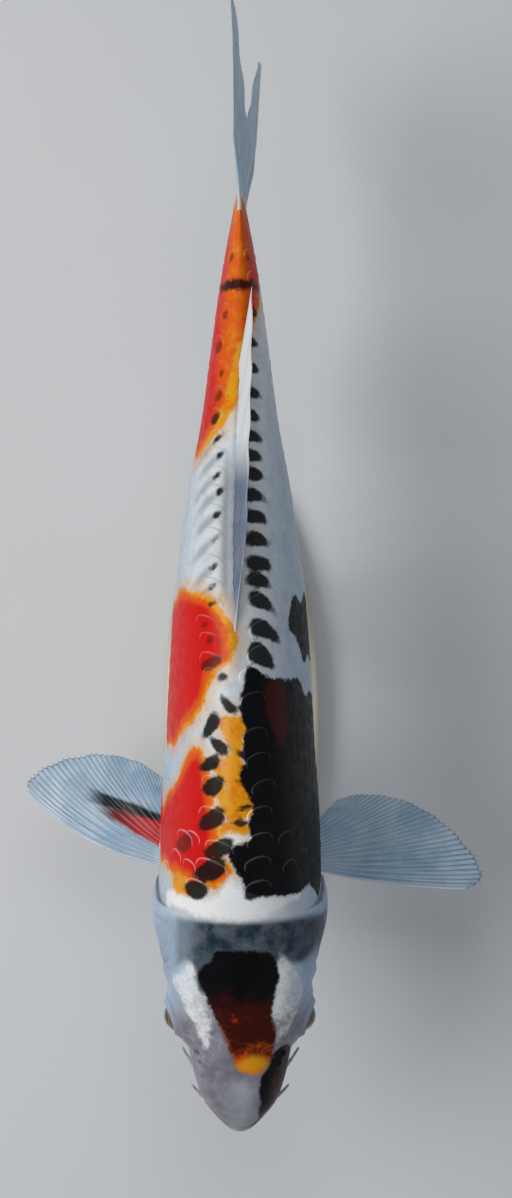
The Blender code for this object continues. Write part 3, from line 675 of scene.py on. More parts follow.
def markings(station, angle):
    """The fields that the skin's and the scales' materials read.

    The outlines' fields are in millimetres inside, and the tones are shares. A koi's red pattern
    is called its hi.
    """
    along = station * LENGTH / MM
    arc = arc_at(station, angle) / MM
    low = smooth(26.0, 52.0, np.abs(arc))
    wavy_along = along + low * (4.0 * np.sin(arc * 0.13 + 1.0) + 2.5 * np.sin(arc * 0.31))
    wavy_arc = arc + low * (4.5 * np.sin(along * 0.11) + 2.5 * np.sin(along * 0.27 + 2.0))

    def most(outlines):
        return np.max([inside(outline, wavy_along, wavy_arc) for outline in outlines], axis=0)

    # The tail's patch is orange along the ridge and red on the sides
    red = np.minimum(most(RED), 12.0)
    ridge_red = np.maximum(0.9 + (np.abs(arc + 1.5) - 3.0) * 0.42, 0.9)
    red = np.where(station > 0.69, np.minimum(red, ridge_red), red)
    mask = inside(MASK, along, arc)
    yellow = np.maximum(most(YELLOW) - 2.0 * low, red + 1.3 - low * (
        0.9 + 0.9 * np.sin(along * 0.21 + arc * 0.10)))
    nape = smooth(43.0, 54.0, along)
    red = np.maximum(red, np.minimum(mask - 1.3 * nape, 1.9 + 2.0 * nape))
    band = 2.7 - np.abs(along - 333.5)
    thin = 0.5 - np.abs(along - 320.5)
    bars = np.maximum(band, thin) * (np.abs(arc) < 16) - 9.0 * (np.abs(arc) >= 16)

    # The head's mask goes from black at the nape through wine and brown to the orange spot
    spot = np.minimum(inside(SPOT, along, arc), mask + 0.5)
    wine = np.maximum(most(WINE), bars - 0.6)
    fade = np.minimum((58.0 - along) * 0.16, (along - 32.5) * 0.17)
    wine = np.maximum(wine, np.minimum(mask + 0.2, fade))
    black = np.maximum(most(BLACK), np.minimum(mask, (along - 49.0) * 0.22))
    mark, dark, streak = marks_near(along, arc)

    side = smooth(8.0, 34.0, np.abs(arc))
    head = smooth(0.248, 0.238, station)
    soft = np.maximum(np.abs(arc) - 28.0, 0.0) * 0.30
    # The nape band's teal grey: partly the skin's own grey and partly painted shade, reaching round
    # into the fish's shaded left side and painted lighter on its right side, where the light falls
    teal = smooth(-2.4 - soft, 1.6 + soft, inside(TEAL, wavy_along, wavy_arc)) * head
    teal = teal * (1.0 - 0.35 * smooth(-14.0, -25.0, arc) - 0.45 * smooth(-25.0, -31.0, arc))
    # Painted shade on the skin along the folded dorsal fin's root, in the teal grey
    fin_root_shade = bell(arc + 1.4, 2.0) * smooth(0.545, 0.59, station) * smooth(0.735, 0.69, station)
    teal = np.maximum(teal, 0.60 * fin_root_shade)
    lavender = smooth(0.175, 0.12, station) * smooth(44.0, 24.0, np.abs(arc))
    lavender = lavender * (1.0 - 0.35 * bell(arc - 1.0, 6.0) * smooth(0.075, 0.055, station))
    belly = smooth(60.0, 95.0, np.abs(arc))
    # Painted bluish shade and reflection on the flanks, stronger on the head and on the fish's left
    # side, none near the ridge or on the belly
    blue = side * (1 - belly) * (0.42 + 0.30 * head + 0.12 * smooth(10.0, 40.0, arc))
    bright = most(BRIGHT) - 0.5 * smooth(0.225, 0.215, station)
    # On the head the bright white is held down, and on the fish's left side it is left out, so that
    # the painted bluish shade shows there
    most_white = np.where(arc > 8.0, -0.1, 0.6)
    bright = np.where(station < 0.225, np.minimum(bright, most_white), bright)
    return {
        "hi": (red, yellow, wine),
        "ink": (black, bright, spot),
        "tone": (teal, lavender, blue),
        "mark": (mark, dark, streak),
    }


# ---------------------------------------------------------------- making meshes

def shaped(name, columns, rows, place, fields=None, refine=None, merge=2e-5):
    """A piece made of a grid whose corners place() puts where they belong."""
    bm = bmesh.new()
    bmesh.ops.create_grid(bm, x_segments=columns, y_segments=rows, size=0.5)
    bmesh.ops.translate(bm, verts=bm.verts, vec=(0.5, 0.5, 0.0))
    if refine:
        refine(bm)
    grid = bm.verts.layers.float_vector.new("grid")
    flat = np.array([v.co[:] for v in bm.verts])
    points = place(flat[:, 0], flat[:, 1])
    for vert, point in zip(bm.verts, points):
        vert[grid] = vert.co
        vert.co = point
    bmesh.ops.remove_doubles(bm, verts=bm.verts, dist=merge)
    bmesh.ops.dissolve_degenerate(bm, edges=bm.edges, dist=1e-6)
    bmesh.ops.recalc_face_normals(bm, faces=bm.faces)
    return finish(name, bm, fields)


def finish(name, bm, fields=None):
    """Makes the object, shades it smooth and stores the fields that its material reads."""
    for face in bm.faces:
        face.smooth = True
    mesh = bpy.data.meshes.new(name)
    bm.to_mesh(mesh)
    bm.free()
    obj = bpy.data.objects.new(name, mesh)
    bpy.context.scene.collection.objects.link(obj)
    if fields:
        count = len(mesh.vertices)
        flat = np.empty(count * 3, np.float32)
        mesh.attributes["grid"].data.foreach_get("vector", flat)
        flat = flat.reshape(count, 3).astype(float)
        for key, values in fields(flat[:, 0], flat[:, 1]).items():
            layer = mesh.attributes.new(key, "FLOAT_VECTOR", "POINT")
            data = np.stack([np.broadcast_to(v, (count,)) for v in values], axis=1)
            layer.data.foreach_set("vector", data.astype(np.float32).ravel())
        mesh.attributes.remove(mesh.attributes["grid"])
    return obj


def settle(obj, material, slot, *nodes):
    """Gives a piece its material and body, and hides the solids it stands for. Its slot is not
    used.
    """
    obj.data.materials.clear()
    obj.data.materials.append(material)
    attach(obj, "root")
    if nodes:
        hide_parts(*nodes)


# ---------------------------------------------------------------- material helpers

class Field:
    """A value that changes over the surface. The usual signs make the nodes that work it out."""

    def __init__(self, tree, socket):
        self.tree, self.socket = tree, socket

    def math(self, operation, *others):
        inputs = dict(enumerate((self, *others)))
        new = node(self.tree, "ShaderNodeMath", inputs, operation=operation)
        return Field(self.tree, new.outputs[0])

    def __add__(self, other):
        return self.math("ADD", other)

    def __sub__(self, other):
        return self.math("SUBTRACT", other)

    def __mul__(self, other):
        return self.math("MULTIPLY", other)

    def __abs__(self):
        return self.math("ABSOLUTE")

    def most(self, other):
        return self.math("MAXIMUM", other)

    def ramp(self, low, high, to_low=0.0, to_high=1.0):
        """A smooth step from to_low, at low, to to_high, at high."""
        inputs = {"Value": self, "From Min": low, "From Max": high, "To Min": to_low,
                  "To Max": to_high}
        new = node(self.tree, "ShaderNodeMapRange", inputs, interpolation_type="SMOOTHSTEP")
        return Field(self.tree, new.outputs[0])


def feed(target, values):
    """Links fields to a node's inputs, and sets plain values on them."""
    for key, value in values.items():
        socket = target.inputs[key]
        if isinstance(value, Field):
            value.tree.links.new(value.socket, socket)
        elif hasattr(value, "__len__") and len(value) == 3 and len(socket.default_value) == 4:
            socket.default_value = (*value, 1.0)
        else:
            socket.default_value = value


def node(tree, kind, inputs=None, **settings):
    new = tree.nodes.new(kind)
    for key, value in settings.items():
        setattr(new, key, value)
    feed(new, inputs or {})
    return new


def mixed(share, first, second):
    """The first colour where share is 0, and the second where it is 1."""
    new = node(share.tree, "ShaderNodeMix", data_type="RGBA")
    feed(new, {0: share, 6: first, 7: second})
    return Field(share.tree, new.outputs[2])


def noise(point, scale, detail=3.0, rough=0.55):
    new = node(point.tree, "ShaderNodeTexNoise",
               {"Vector": point, "Scale": scale, "Detail": detail, "Roughness": rough})
    return Field(point.tree, new.outputs["Fac"])


def mapped(point, kind="POINT", **inputs):
    """The place moved, turned and stretched."""
    new = node(point.tree, "ShaderNodeMapping", {"Vector": point}, vector_type=kind)
    feed(new, {label.capitalize(): value for label, value in inputs.items()})
    return Field(point.tree, new.outputs[0])


def split(vector):
    parts = node(vector.tree, "ShaderNodeSeparateXYZ", {0: vector}).outputs
    return [Field(vector.tree, part) for part in parts]


def bump(height, strength, distance):
    new = node(height.tree, "ShaderNodeBump",
               {"Height": height, "Strength": strength, "Distance": distance})
    return Field(height.tree, new.outputs[0])


def read(tree, name):
    return Field(tree, node(tree, "ShaderNodeAttribute", attribute_name=name).outputs["Vector"])


VECTOR, VALUE, COLOUR = "NodeSocketVector", "NodeSocketFloat", "NodeSocketColor"
PAINTS = ("White", "Bright", "Grey", "Teal", "Lavender", "Blue", "Yellow", "Orange", "Red",
          "Wine", "Black")


def new_group(name, inputs, outputs):
    """An empty node group, its inputs as fields, and the node of its outputs."""
    tree = bpy.data.node_groups.new(name, "ShaderNodeTree")
    for in_out, sockets in (("INPUT", inputs), ("OUTPUT", outputs)):
        for label, kind in sockets.items():
            tree.interface.new_socket(label, in_out=in_out, socket_type=kind)
    given = tree.nodes.new("NodeGroupInput").outputs
    fields = {label: Field(tree, given[label]) for label in inputs}
    return tree, fields, tree.nodes.new("NodeGroupOutput")


def grouped(tree, name, make, inputs):
    """A shared node group placed in a material, with its outputs as fields."""
    group = bpy.data.node_groups.get(name) or make(name)
    new = node(tree, "ShaderNodeGroup", inputs, node_tree=group)
    return {output.name: Field(tree, output) for output in new.outputs}


def markings_group(name):
    """Paints the patches: ragged edges, a yellow and orange fringe, and black on top."""
    inputs = dict.fromkeys(("Point", "Hi", "Ink", "Tone", "Mark"), VECTOR)
    tree, given, out = new_group(
        name, {**inputs, **dict.fromkeys(PAINTS, COLOUR)}, {"Color": COLOUR, "Dark": VALUE})
    point = given["Point"]
    red, yellow, wine = split(given["Hi"])
    black, bright, spot = split(given["Ink"])
    teal, lavender, blue = split(given["Tone"])
    mark, darkness, streak = split(given["Mark"])
    broad = noise(point, 150.0, 4.0, 0.6)
    fine = noise(point, 620.0, 4.0, 0.62)
    tiny = noise(point, 2400.0, 2.0, 0.6)
    edge = broad * 9.0 + fine * 5.0 - 7.0
    ragged = edge * 0.45

    # The ground: pearly white, clouded with grey, with painted bluish shade and reflection on the
    # flanks, and dim on the head
    paint = mixed(blue, given["White"], given["Blue"])
    paint = mixed(broad.ramp(0.42, 0.70, 0.0, 0.26), paint, given["Grey"])
    paint = mixed(fine.ramp(0.50, 0.75, 0.0, 0.35), paint, given["Bright"])
    snout = mixed(broad.ramp(0.36, 0.72, 0.0, 0.26), given["Lavender"], given["White"])
    snout = mixed(fine.ramp(0.45, 0.80, 0.0, 0.24), snout, given["Grey"])
    paint = mixed(lavender, paint, snout)
    paint = mixed(teal * broad.ramp(0.30, 0.72, 1.0, 0.82), paint, given["Teal"])
    # Painted shadows behind the scales on the right side, in grey
    streak = streak + fine * 1.8 - 0.9
    paint = mixed(streak.ramp(-1.2, 1.4, 0.0, 0.60), paint, given["Grey"])

    # The patches: yellow under orange under red, then white, black, wine and the scales' roots
    yellow = yellow + ragged
    paint = mixed(yellow.ramp(-7.0, -0.8, 0.0, 0.34), paint, given["Yellow"])
    amber = mixed(edge.ramp(-0.3, 1.6, 0.0, 0.6), given["Yellow"], given["Orange"])
    paint = mixed(yellow.ramp(-0.8, 1.0), paint, amber)
    red = red + ragged
    reddish = red.ramp(-0.7, 1.2)
    paint = mixed(reddish, paint, given["Orange"])
    paint = mixed(red.ramp(1.0, 5.0), paint, given["Red"])
    bright = (bright + edge * 0.65).ramp(-1.5, 1.7, 0.0, 0.95)
    paint = mixed(bright * teal.ramp(0.9, 0.3, 0.8, 1.0), paint, given["Bright"])
    black = (black + ragged).ramp(-0.7, 0.8)
    paint = mixed(black, paint, given["Black"])
    wine = (wine + ragged).ramp(-1.0, 1.5)
    paint = mixed(wine, paint, given["Wine"])
    paint = mixed((spot + ragged).ramp(-1.8, 2.4, 0.0, 0.95), paint, given["Yellow"])
    root = darkness.ramp(0.0, 0.8, 0.0, 0.97) * (mark + ragged * 0.55).ramp(-0.60, 0.55)
    pigment = mixed(reddish * darkness.ramp(1.0, 0.6), given["Black"], given["Wine"])
    paint = mixed(root, paint, pigment)
    speck = tiny.ramp(0.25, 0.75, 0.90, 1.05)
    shade = node(tree, "ShaderNodeVectorMath", {0: paint, 3: speck}, operation="SCALE")
    feed(out, {"Color": Field(tree, shade.outputs[0]),
               "Dark": black.most(root).most(wine).most(reddish * 0.8)})
    return tree


def grain_group(name):
    """Fine relief of wet skin: soft dimples and a leathery grain."""
    tree, given, out = new_group(
        name, {"Point": VECTOR, "Grain": VALUE}, {"Height": VALUE, "Gloss": VALUE})
    cells = node(tree, "ShaderNodeTexVoronoi", {"Vector": given["Point"], "Scale": given["Grain"]})
    broad = noise(given["Point"], 240.0)
    dimples = Field(tree, cells.outputs["Distance"]).ramp(0.0, 0.7)
    feed(out, {"Height": dimples * 0.4 + broad, "Gloss": broad.ramp(0.3, 0.75, 0.24, 0.42)})
    return tree


def rays_group(name):
    """Fin rays from a fin's own coordinates: rays that branch, with joints across them."""
    tree, given, out = new_group(
        name, {"Blade": VECTOR, "Point": VECTOR, "Rays": VALUE}, {"Ray": VALUE, "Joint": VALUE})
    across, along, _ = split(given["Blade"])
    wander = noise(given["Point"], 90.0, 2.0) * 0.3 - 0.15

    def comb(times, width):
        run = across * (given["Rays"] * times) + wander
        return abs(run.math("FRACT") - 0.5).ramp(width, width * 0.35)

    stem = comb(1.0, 0.16) * along.ramp(0.75, 0.45)
    fork = comb(2.0, 0.17) * along.ramp(0.35, 0.55)
    twig = comb(4.0, 0.20) * along.ramp(0.6, 0.85)
    ray = noise(given["Point"], 70.0).ramp(0.30, 0.62, 0.40, 1.0) * stem.most(fork).most(twig)
    joint = (along * 46.0).math("FRACT").ramp(0.16, 0.02) * ray
    feed(out, {"Ray": ray, "Joint": joint})
    return tree


def blank_material(name):
    """A new material, its tree and shader, and the place on the object as a field."""
    material = bpy.data.materials.new(name)
    material.use_nodes = True
    tree = material.node_tree
    point = Field(tree, node(tree, "ShaderNodeTexCoord").outputs["Object"])
    return material, tree, tree.nodes["Principled BSDF"], point


def painted(tree, point):
    """The markings group, set up with this fish's colours."""
    palette = colours()
    inputs = {"Point": point, **{paint: getattr(palette, paint.lower()) for paint in PAINTS}}
    for label in ("Hi", "Ink", "Tone", "Mark"):
        inputs[label] = read(tree, label.lower())
    return grouped(tree, "koi_markings", markings_group, inputs)


def grained(point, grain):
    return grouped(point.tree, "koi_skin_grain", grain_group, {"Point": point, "Grain": grain})


def once(name, make):
    return bpy.data.materials.get(name) or make(name)


def wet_coat(dark, most):
    """A thin wet layer, weaker over the dark patches so that they stay deep."""
    return {"Coat Weight": dark * (-0.85 * most) + most, "Coat Roughness": 0.14,
            "Specular IOR Level": 0.12}


# ---------------------------------------------------------------- materials

def skin_material(name):
    palette = colours()
    material, tree, shader, point = blank_material(name)
    paint = painted(tree, point)
    grain = grained(point, 1500.0)
    crease_shade, rim, blush = split(read(tree, "fold"))
    # Painted bluish reflection on the gill covers' rims, the rose blush, and painted shade in the
    # creases and pits
    base = mixed(rim * 0.55, paint["Color"], palette.blue)
    base = mixed(blush * 0.5, base, palette.rose)
    base = mixed(crease_shade * 0.8, base, palette.crease_shade)
    feed(shader, {
        "Base Color": base, "Roughness": paint["Dark"] * 0.15 + grain["Gloss"],
        "Normal": bump(grain["Height"], 0.35, 0.0003), **wet_coat(paint["Dark"], 0.09)})
    return material


def scale_material(name):
    """Scales carry the skin's markings, with growth rings round the root and a pale free edge."""
    material, tree, shader, point = blank_material(name)
    paint = painted(tree, point)
    radius, across, border = split(read(tree, "leaf"))
    rings = (radius * 75.0).math("SINE")
    fan = (across * 30.0).math("SINE")
    shoulder = split(point)[1].ramp(-0.010, -0.035, 0.38, 0.75)
    light = paint["Dark"].math("POWER", 2.0) * -0.92 + 1.0
    rim = border.ramp(0.80, 0.97) * shoulder * light
    feed(shader, {
        "Base Color": mixed(rim, paint["Color"], colours().bright),
        "Roughness": paint["Dark"] * 0.15 + fan.ramp(-1.0, 1.0, 0.30, 0.44),
        "Normal": bump(rings * 0.5 + fan * 0.35, 0.22, 0.00010),
        **wet_coat(paint["Dark"], 0.11)})
    return material


def red_streak(point, cloudy):
    """Shares of red and black in the streak that crosses the right pectoral fin, and its red."""
    ragged = cloudy * 7.0 - 3.5
    lying = mapped(point, "TEXTURE", location=STREAK_ROOT, rotation=(0.0, 0.0, STREAK_TURN),
                   scale=(MM, MM, MM))
    run, aside, _ = split(lying)
    run = run + ragged
    aside = aside + ragged * 0.35
    red = run.ramp(31.0, 20.0) * (abs(aside) + run * 0.15).ramp(6.6, 4.6)
    border = abs(aside + run * -0.06 + 5.4) - run * 0.045
    black = run.ramp(38.0, 25.0) * border.ramp(2.2, 0.6)
    blood = mixed(run.ramp(2.0, 24.0, 0.30, 0.92), colours().red, colours().wine)
    return red, black, blood


def fin_material(name, rays, streak=False, folded=False, opacity=0.60):
    """Clear skin between pale rays, with joints across the rays."""
    palette = colours()
    material, tree, shader, point = blank_material(name)
    blade = read(tree, "blade")
    across, along, _ = split(blade)
    comb = grouped(tree, "koi_fin_rays", rays_group,
                   {"Blade": blade, "Point": point, "Rays": float(rays)})
    ray, joint = comb["Ray"], comb["Joint"]
    cloudy = noise(point, 120.0, 4.0)
    # The clear membranes carry the painted bluish light, clouded with white
    membrane = mixed(cloudy.ramp(0.35, 0.7, 0.0, 0.3), palette.membrane, palette.white)
    bone = mixed(joint * 0.6, palette.ray, palette.membrane)
    if folded:
        # The folded fin: painted shade over its outer face and rays, in dark bluish grey, with
        # white at its root and towards its ends
        place = split(point)[1]
        shade_zone = place.ramp(0.030, 0.060) * place.ramp(0.118, 0.096)
        shaded = along.ramp(0.02, 0.20) * shade_zone
        bone = mixed(shaded * 0.85, palette.white, palette.grey)
        membrane = mixed(shaded * 0.95, palette.white, palette.shade_slate)
    paint = mixed(ray, membrane, bone)
    root = along.ramp(0.26, 0.04, 0.0, 0.2 if folded else 0.8)
    paint = mixed(root, paint, palette.white)
    clear = ray.most(along.ramp(0.28, 0.0))
    lead = across.ramp(0.05, 0.0, 0.0, 0.3 if folded else 1.0)
    if streak:
        red, black, blood = red_streak(point, cloudy)
        paint = mixed(red * 0.97, paint, blood)
        paint = mixed(black * 0.98, paint, palette.black)
        clear = clear.most(red.most(black))
        lead = lead.most(along.ramp(0.45, 0.75) * across.ramp(0.34, 0.12, 0.0, 0.75) * ray)
    if folded:
        tip = tuple(0.6 * pale + 0.4 * warm for pale, warm in zip(palette.bright, palette.rose))
        edge = along.ramp(0.90, 0.97) * place.ramp(0.085, 0.12, 0.1, 0.8)
        paint = mixed(edge, paint, tip)
    feed(shader, {
        "Base Color": mixed(lead * 0.7, paint, palette.bright),
        "Alpha": clear.most(lead).ramp(0.0, 1.0, opacity, 1.0),
        "Roughness": cloudy.ramp(0.3, 0.7, 0.26, 0.42),
        "Normal": bump(ray - joint * 0.5, 0.25, 0.0002),
        "Coat Weight": 0.12, "Coat Roughness": 0.14, "Specular IOR Level": 0.25})
    return material


def eye_material(name):
    palette = colours()
    material, tree, shader, point = blank_material(name)
    threads = noise(point, 2600.0)
    turn = split(read(tree, "dial"))[0] + threads * 0.03 - 0.015
    paint = mixed(threads.ramp(0.35, 0.65), palette.iris, palette.iris_threads)
    paint = mixed(turn.ramp(0.60, 0.66), paint, palette.eye_rim)
    paint = mixed(abs(turn - 0.445).ramp(0.03, 0.01), paint, palette.iris_ring)
    paint = mixed(turn.ramp(0.435, 0.415), paint, palette.black)
    feed(shader, {"Base Color": paint, "Roughness": turn.ramp(0.5, 0.9, 0.10, 0.30),
                  "Coat Weight": 1.0, "Coat Roughness": 0.02})
    return material


def barbel_material(name):
    material, _, shader, point = blank_material(name)
    grain = grained(point, 2200.0)
    patch = noise(point, 300.0).ramp(0.30, 0.70, 0.0, 0.45)
    feed(shader, {
        "Base Color": mixed(patch, colours().lavender, colours().white),
        "Roughness": grain["Gloss"], "Normal": bump(grain["Height"], 0.4, 0.0002),
        "Coat Weight": 0.35})
    return material


def darker(paint, share):
    return tuple(value * share for value in paint)


def wood_material(name):
    palette = colours()
    material, tree, shader, point = blank_material(name)
    long_point = mapped(point, scale=(60.0, 4.0, 60.0))
    grain = noise(long_point, 3.0, 5.0, 0.65)
    lines = node(tree, "ShaderNodeTexWave",
                 {"Vector": long_point, "Scale": 0.6, "Distortion": 3.5, "Detail": 3.0})
    share = Field(tree, lines.outputs["Fac"]).ramp(0.2, 0.9) * grain.ramp(0.3, 0.7, 0.25, 1.0)
    feed(shader, {
        "Base Color": mixed(share, palette.wood, darker(palette.wood, 0.72)),
        "Roughness": grain.ramp(0.2, 0.8, 0.34, 0.50), "Normal": bump(share, 0.15, 0.0002),
        "Coat Weight": 0.25})
    return material


def steel_material(name):
    palette = colours()
    material, _, shader, point = blank_material(name)
    brush = noise(mapped(point, scale=(30.0, 30.0, 900.0)), 2.0, 4.0, 0.7)
    feed(shader, {
        "Base Color": mixed(brush, palette.steel, darker(palette.steel, 0.8)), "Metallic": 1.0,
        "Roughness": brush.ramp(0.2, 0.8, 0.24, 0.42), "Normal": bump(brush, 0.1, 0.0001)})
    return material


def floor_material(name):
    palette = colours()
    material, _, shader, point = blank_material(name)
    cloud = noise(point, 3.0, 4.0)
    feed(shader, {"Base Color": mixed(cloud, palette.floor, darker(palette.floor, 0.96)),
                  "Roughness": cloud.ramp(0.3, 0.7, 0.6, 0.75)})
    return material


# ---------------------------------------------------------------- the skin

def skin_rows():
    """The stations of the skin's rings, closer on the head and at the gill covers' edge."""
    snout = 0.03 * np.linspace(0.0, 1.0, 15) ** 2
    head = np.linspace(0.03, 0.2485, 106)[1:]
    edge = np.array((0.2500, 0.2512, 0.2522, 0.2530, 0.2536, 0.2542, 0.2548, 0.2551, 0.2556,
                     0.2566, 0.2580, 0.2600, 0.2625))
    trunk = np.linspace(0.2650, 1.0, 190)
    return np.concatenate((snout, head, edge, trunk))


SKIN_ROWS = skin_rows()
EDGE_ROW = 0.2549
CAP_ROWS, CAP_BULGE = 3, 0.0012


def skin_grid(x, y):
    """Turns the flat grid's corners into stations and angles. Rings lean with the gill edge."""
    count = len(SKIN_ROWS) + CAP_ROWS
    plain = np.interp(y * count, np.arange(count + 1),
                      np.concatenate((SKIN_ROWS, np.ones(CAP_ROWS + 1))))
    angle = -math.pi / 2 + x * 2 * math.pi
    pull = np.where(plain < EDGE_ROW, smooth(0.06, EDGE_ROW, plain),
                    smooth(0.42, EDGE_ROW, plain))
    station = plain + (cover_edge(angle) - EDGE_ROW) * pull
    close = np.clip((y * count - (len(SKIN_ROWS) - 1)) / (CAP_ROWS + 1), 0.0, 1.0)
    return station, angle, close


def place_skin(x, y):
    station, angle, close = skin_grid(x, y)
    points = skin(station, angle)
    points[:, 0] *= 1.0 - close
    points[:, 1] += close * CAP_BULGE
    return points


def refine_skin(bm):
    """Finer faces round the eyes, the nostrils and the mouth."""
    middles = np.array([f.calc_center_median()[:] for f in bm.faces])
    station, angle, _ = skin_grid(middles[:, 0], middles[:, 1])
    point = body(station, angle)
    fine = np.zeros(len(middles), bool)
    for side in SIDES.values():
        centre, axis = eye_frame(side)
        offset = point - centre
        away = np.linalg.norm(offset - (offset @ axis)[:, None] * axis, axis=1)
        fine |= (away < 0.0078) & (offset @ axis > -0.02)
    gap = mouth_gap(station, point)
    fine |= (station < 0.06) & (np.abs(gap) < 0.0035) & (station > 0.002)
    turn = np.abs(np.degrees(angle) - 90.0)
    fine |= (np.abs(station - NOSTRIL_MIDDLE[0]) < 0.012) & (
        np.abs(turn - NOSTRIL_MIDDLE[1]) < 9.0)
    bm.faces.ensure_lookup_table()
    edges = {e for i in np.flatnonzero(fine) for e in bm.faces[i].edges}
    bmesh.ops.subdivide_edges(bm, edges=list(edges), cuts=1, use_grid_fill=True)


def skin_fields(x, y):
    station, angle, _ = skin_grid(x, y)
    return {**markings(station, angle), "fold": creases(station, angle)}


class KOI_OT_skin(bpy.types.Operator):
    """One skin from the snout to the tail's root, in place of the flesh"""
    bl_idname = "koi.skin"
    bl_label = "Skin"

    def execute(self, context):
        obj = shaped("koi_skin", sizes().skin_sides, len(SKIN_ROWS) + CAP_ROWS, place_skin,
                     skin_fields, refine_skin)
        settle(obj, once("koi_wet_skin", skin_material), "skin", "head", "lower_jaw",
               "gill_cover_right", "gill_cover_left", "trunk", "tail")
        return {"FINISHED"}


# ---------------------------------------------------------------- scales

SCALE_COLUMNS, SCALE_ROWS = 10, 8
SCALE_ROOT_DEPTH = -0.0006
PATCH = 0.003
BODY_RADIUS = 0.04


def add_scale(bm, layers, station, arc, length, width, turn, lift):
    """One scale: a thin flat shield whose root is under the skin and whose rear edge is free."""
    grid, leaf, uv = layers
    made = bmesh.ops.create_grid(bm, x_segments=SCALE_COLUMNS, y_segments=SCALE_ROWS, size=1.0)
    tops = made["verts"]
    root_angle = float(angle_at(station, arc))
    flat = np.array([v.co[:2] for v in tops])
    flat = np.sign(flat) * np.abs(flat) ** 0.8
    p = flat[:, 1] * np.sqrt(1.0 - flat[:, 0] ** 2 * 0.42)
    q = flat[:, 0] * np.sqrt(1.0 - flat[:, 1] ** 2 * 0.5)
    q *= 1.0 - 0.14 * (1.0 - p) * 0.5
    along = p * length / 2 * math.cos(turn) - q * width / 2 * math.sin(turn)
    across = q * width / 2 * math.cos(turn) + p * length / 2 * math.sin(turn)
    stations = station + along / LENGTH
    angles = np.array([angle_at(s, arc + a) for s, a in zip(stations, across)])
    border = np.maximum(np.abs(flat[:, 0]), np.abs(flat[:, 1]))
    free = smooth(-0.4, 0.9, p)
    heights = lift * (0.12 + 0.88 * free) * (0.30 + 0.70 * (1.0 - q ** 4))
    heights = heights - lift * 0.45 * smooth(0.80, 1.0, border) * free
    heights = heights - 0.00030 * smooth(-0.45, -1.0, p) - 0.00012 * smooth(0.75, 1.0, np.abs(q))
    points = skin(stations, angles, heights)
    radius = np.hypot(p + 1.0, q) / 2.0
    edge = border * smooth(-0.6, 0.2, p)
    faces = {f for v in tops for f in v.link_faces}
    for i, vert in enumerate(tops):
        vert.co = points[i]
        vert[grid] = (stations[i], angles[i], 0.0)
        vert[leaf] = (radius[i], q[i], edge[i])
    rims = {e for f in faces for e in f.edges if e.is_boundary}
    skirt = bmesh.ops.extrude_edge_only(bm, edges=sorted(rims, key=lambda e: e.index))["geom"]
    low = [g for g in skirt if isinstance(g, bmesh.types.BMVert)]
    lower = set(low)
    edges = [g for g in skirt if isinstance(g, bmesh.types.BMEdge)
             and all(v in lower for v in g.verts)]
    spots = np.array([v[grid][:2] for v in low])
    under = skin(spots[:, 0], spots[:, 1], SCALE_ROOT_DEPTH)
    for vert, point in zip(low, under):
        vert.co = point
    bmesh.ops.contextual_create(bm, geom=edges)
    seen = {f for v in tops + low for f in v.link_faces}
    for loop in (loop for face in seen for loop in face.loops):
        s, a, _ = loop.vert[grid]
        down = PATCH * (s - station) * LENGTH / length
        round_it = PATCH * (a - root_angle) * BODY_RADIUS / width
        loop[uv].uv = (station + down, root_angle / (2 * math.pi) + 0.25 + round_it)


def scale_piece(name, spots):
    """Joins the scales of one row into one piece with its own unwrap."""
    bm = bmesh.new()
    grid = bm.verts.layers.float_vector.new("grid")
    leaf = bm.verts.layers.float_vector.new("leaf")
    uv = bm.loops.layers.uv.new("OFBake")
    for spot in spots:
        add_scale(bm, (grid, leaf, uv), *spot)
    bmesh.ops.recalc_face_normals(bm, faces=bm.faces)
    obj = finish(name, bm, markings)
    settle(obj, once("koi_scale", scale_material), "skin")
    return obj


def shrink_at(station):
    return float(np.interp(station, (0.27, 0.40, 0.60, 0.70, 0.95), (1.0, 1.0, 1.0, 0.76, 0.42)))


class KOI_OT_back_scales(bpy.types.Operator):
    """The two rows of big scales beside the ridge of the back"""
    bl_idname = "koi.back_scales"
    bl_label = "Back scales"

    def execute(self, context):
        size = sizes()
        for side, rows in ROWS.items():
            spots = []
            behind = rows[0][0] + 20
            for number, (station, arc, length, *_) in enumerate(rows):
                if abs(arc) < 3:
                    continue
                share = shrink_at(station / 1000)
                gap = min(max((behind - station) * LENGTH, 6.0 * share), 10.0) / 2 * MM
                front = size.scale_length * share / 2
                wide = max(size.scale_width * share, length * 1.08 * MM)
                middle = arc if abs(arc) > 8 * share else SIDES[side] * 8 * share
                spots.append((
                    station / 1000 + (gap - front) / 2 / LENGTH, middle * MM, front + gap,
                    wide, -SIDES[side] * 0.24,
                    size.scale_lift * (1.0 + 0.12 * math.sin(number * 2.3))))
                behind = station
            scale_piece(f"scales_back_{side}", spots)
        return {"FINISHED"}


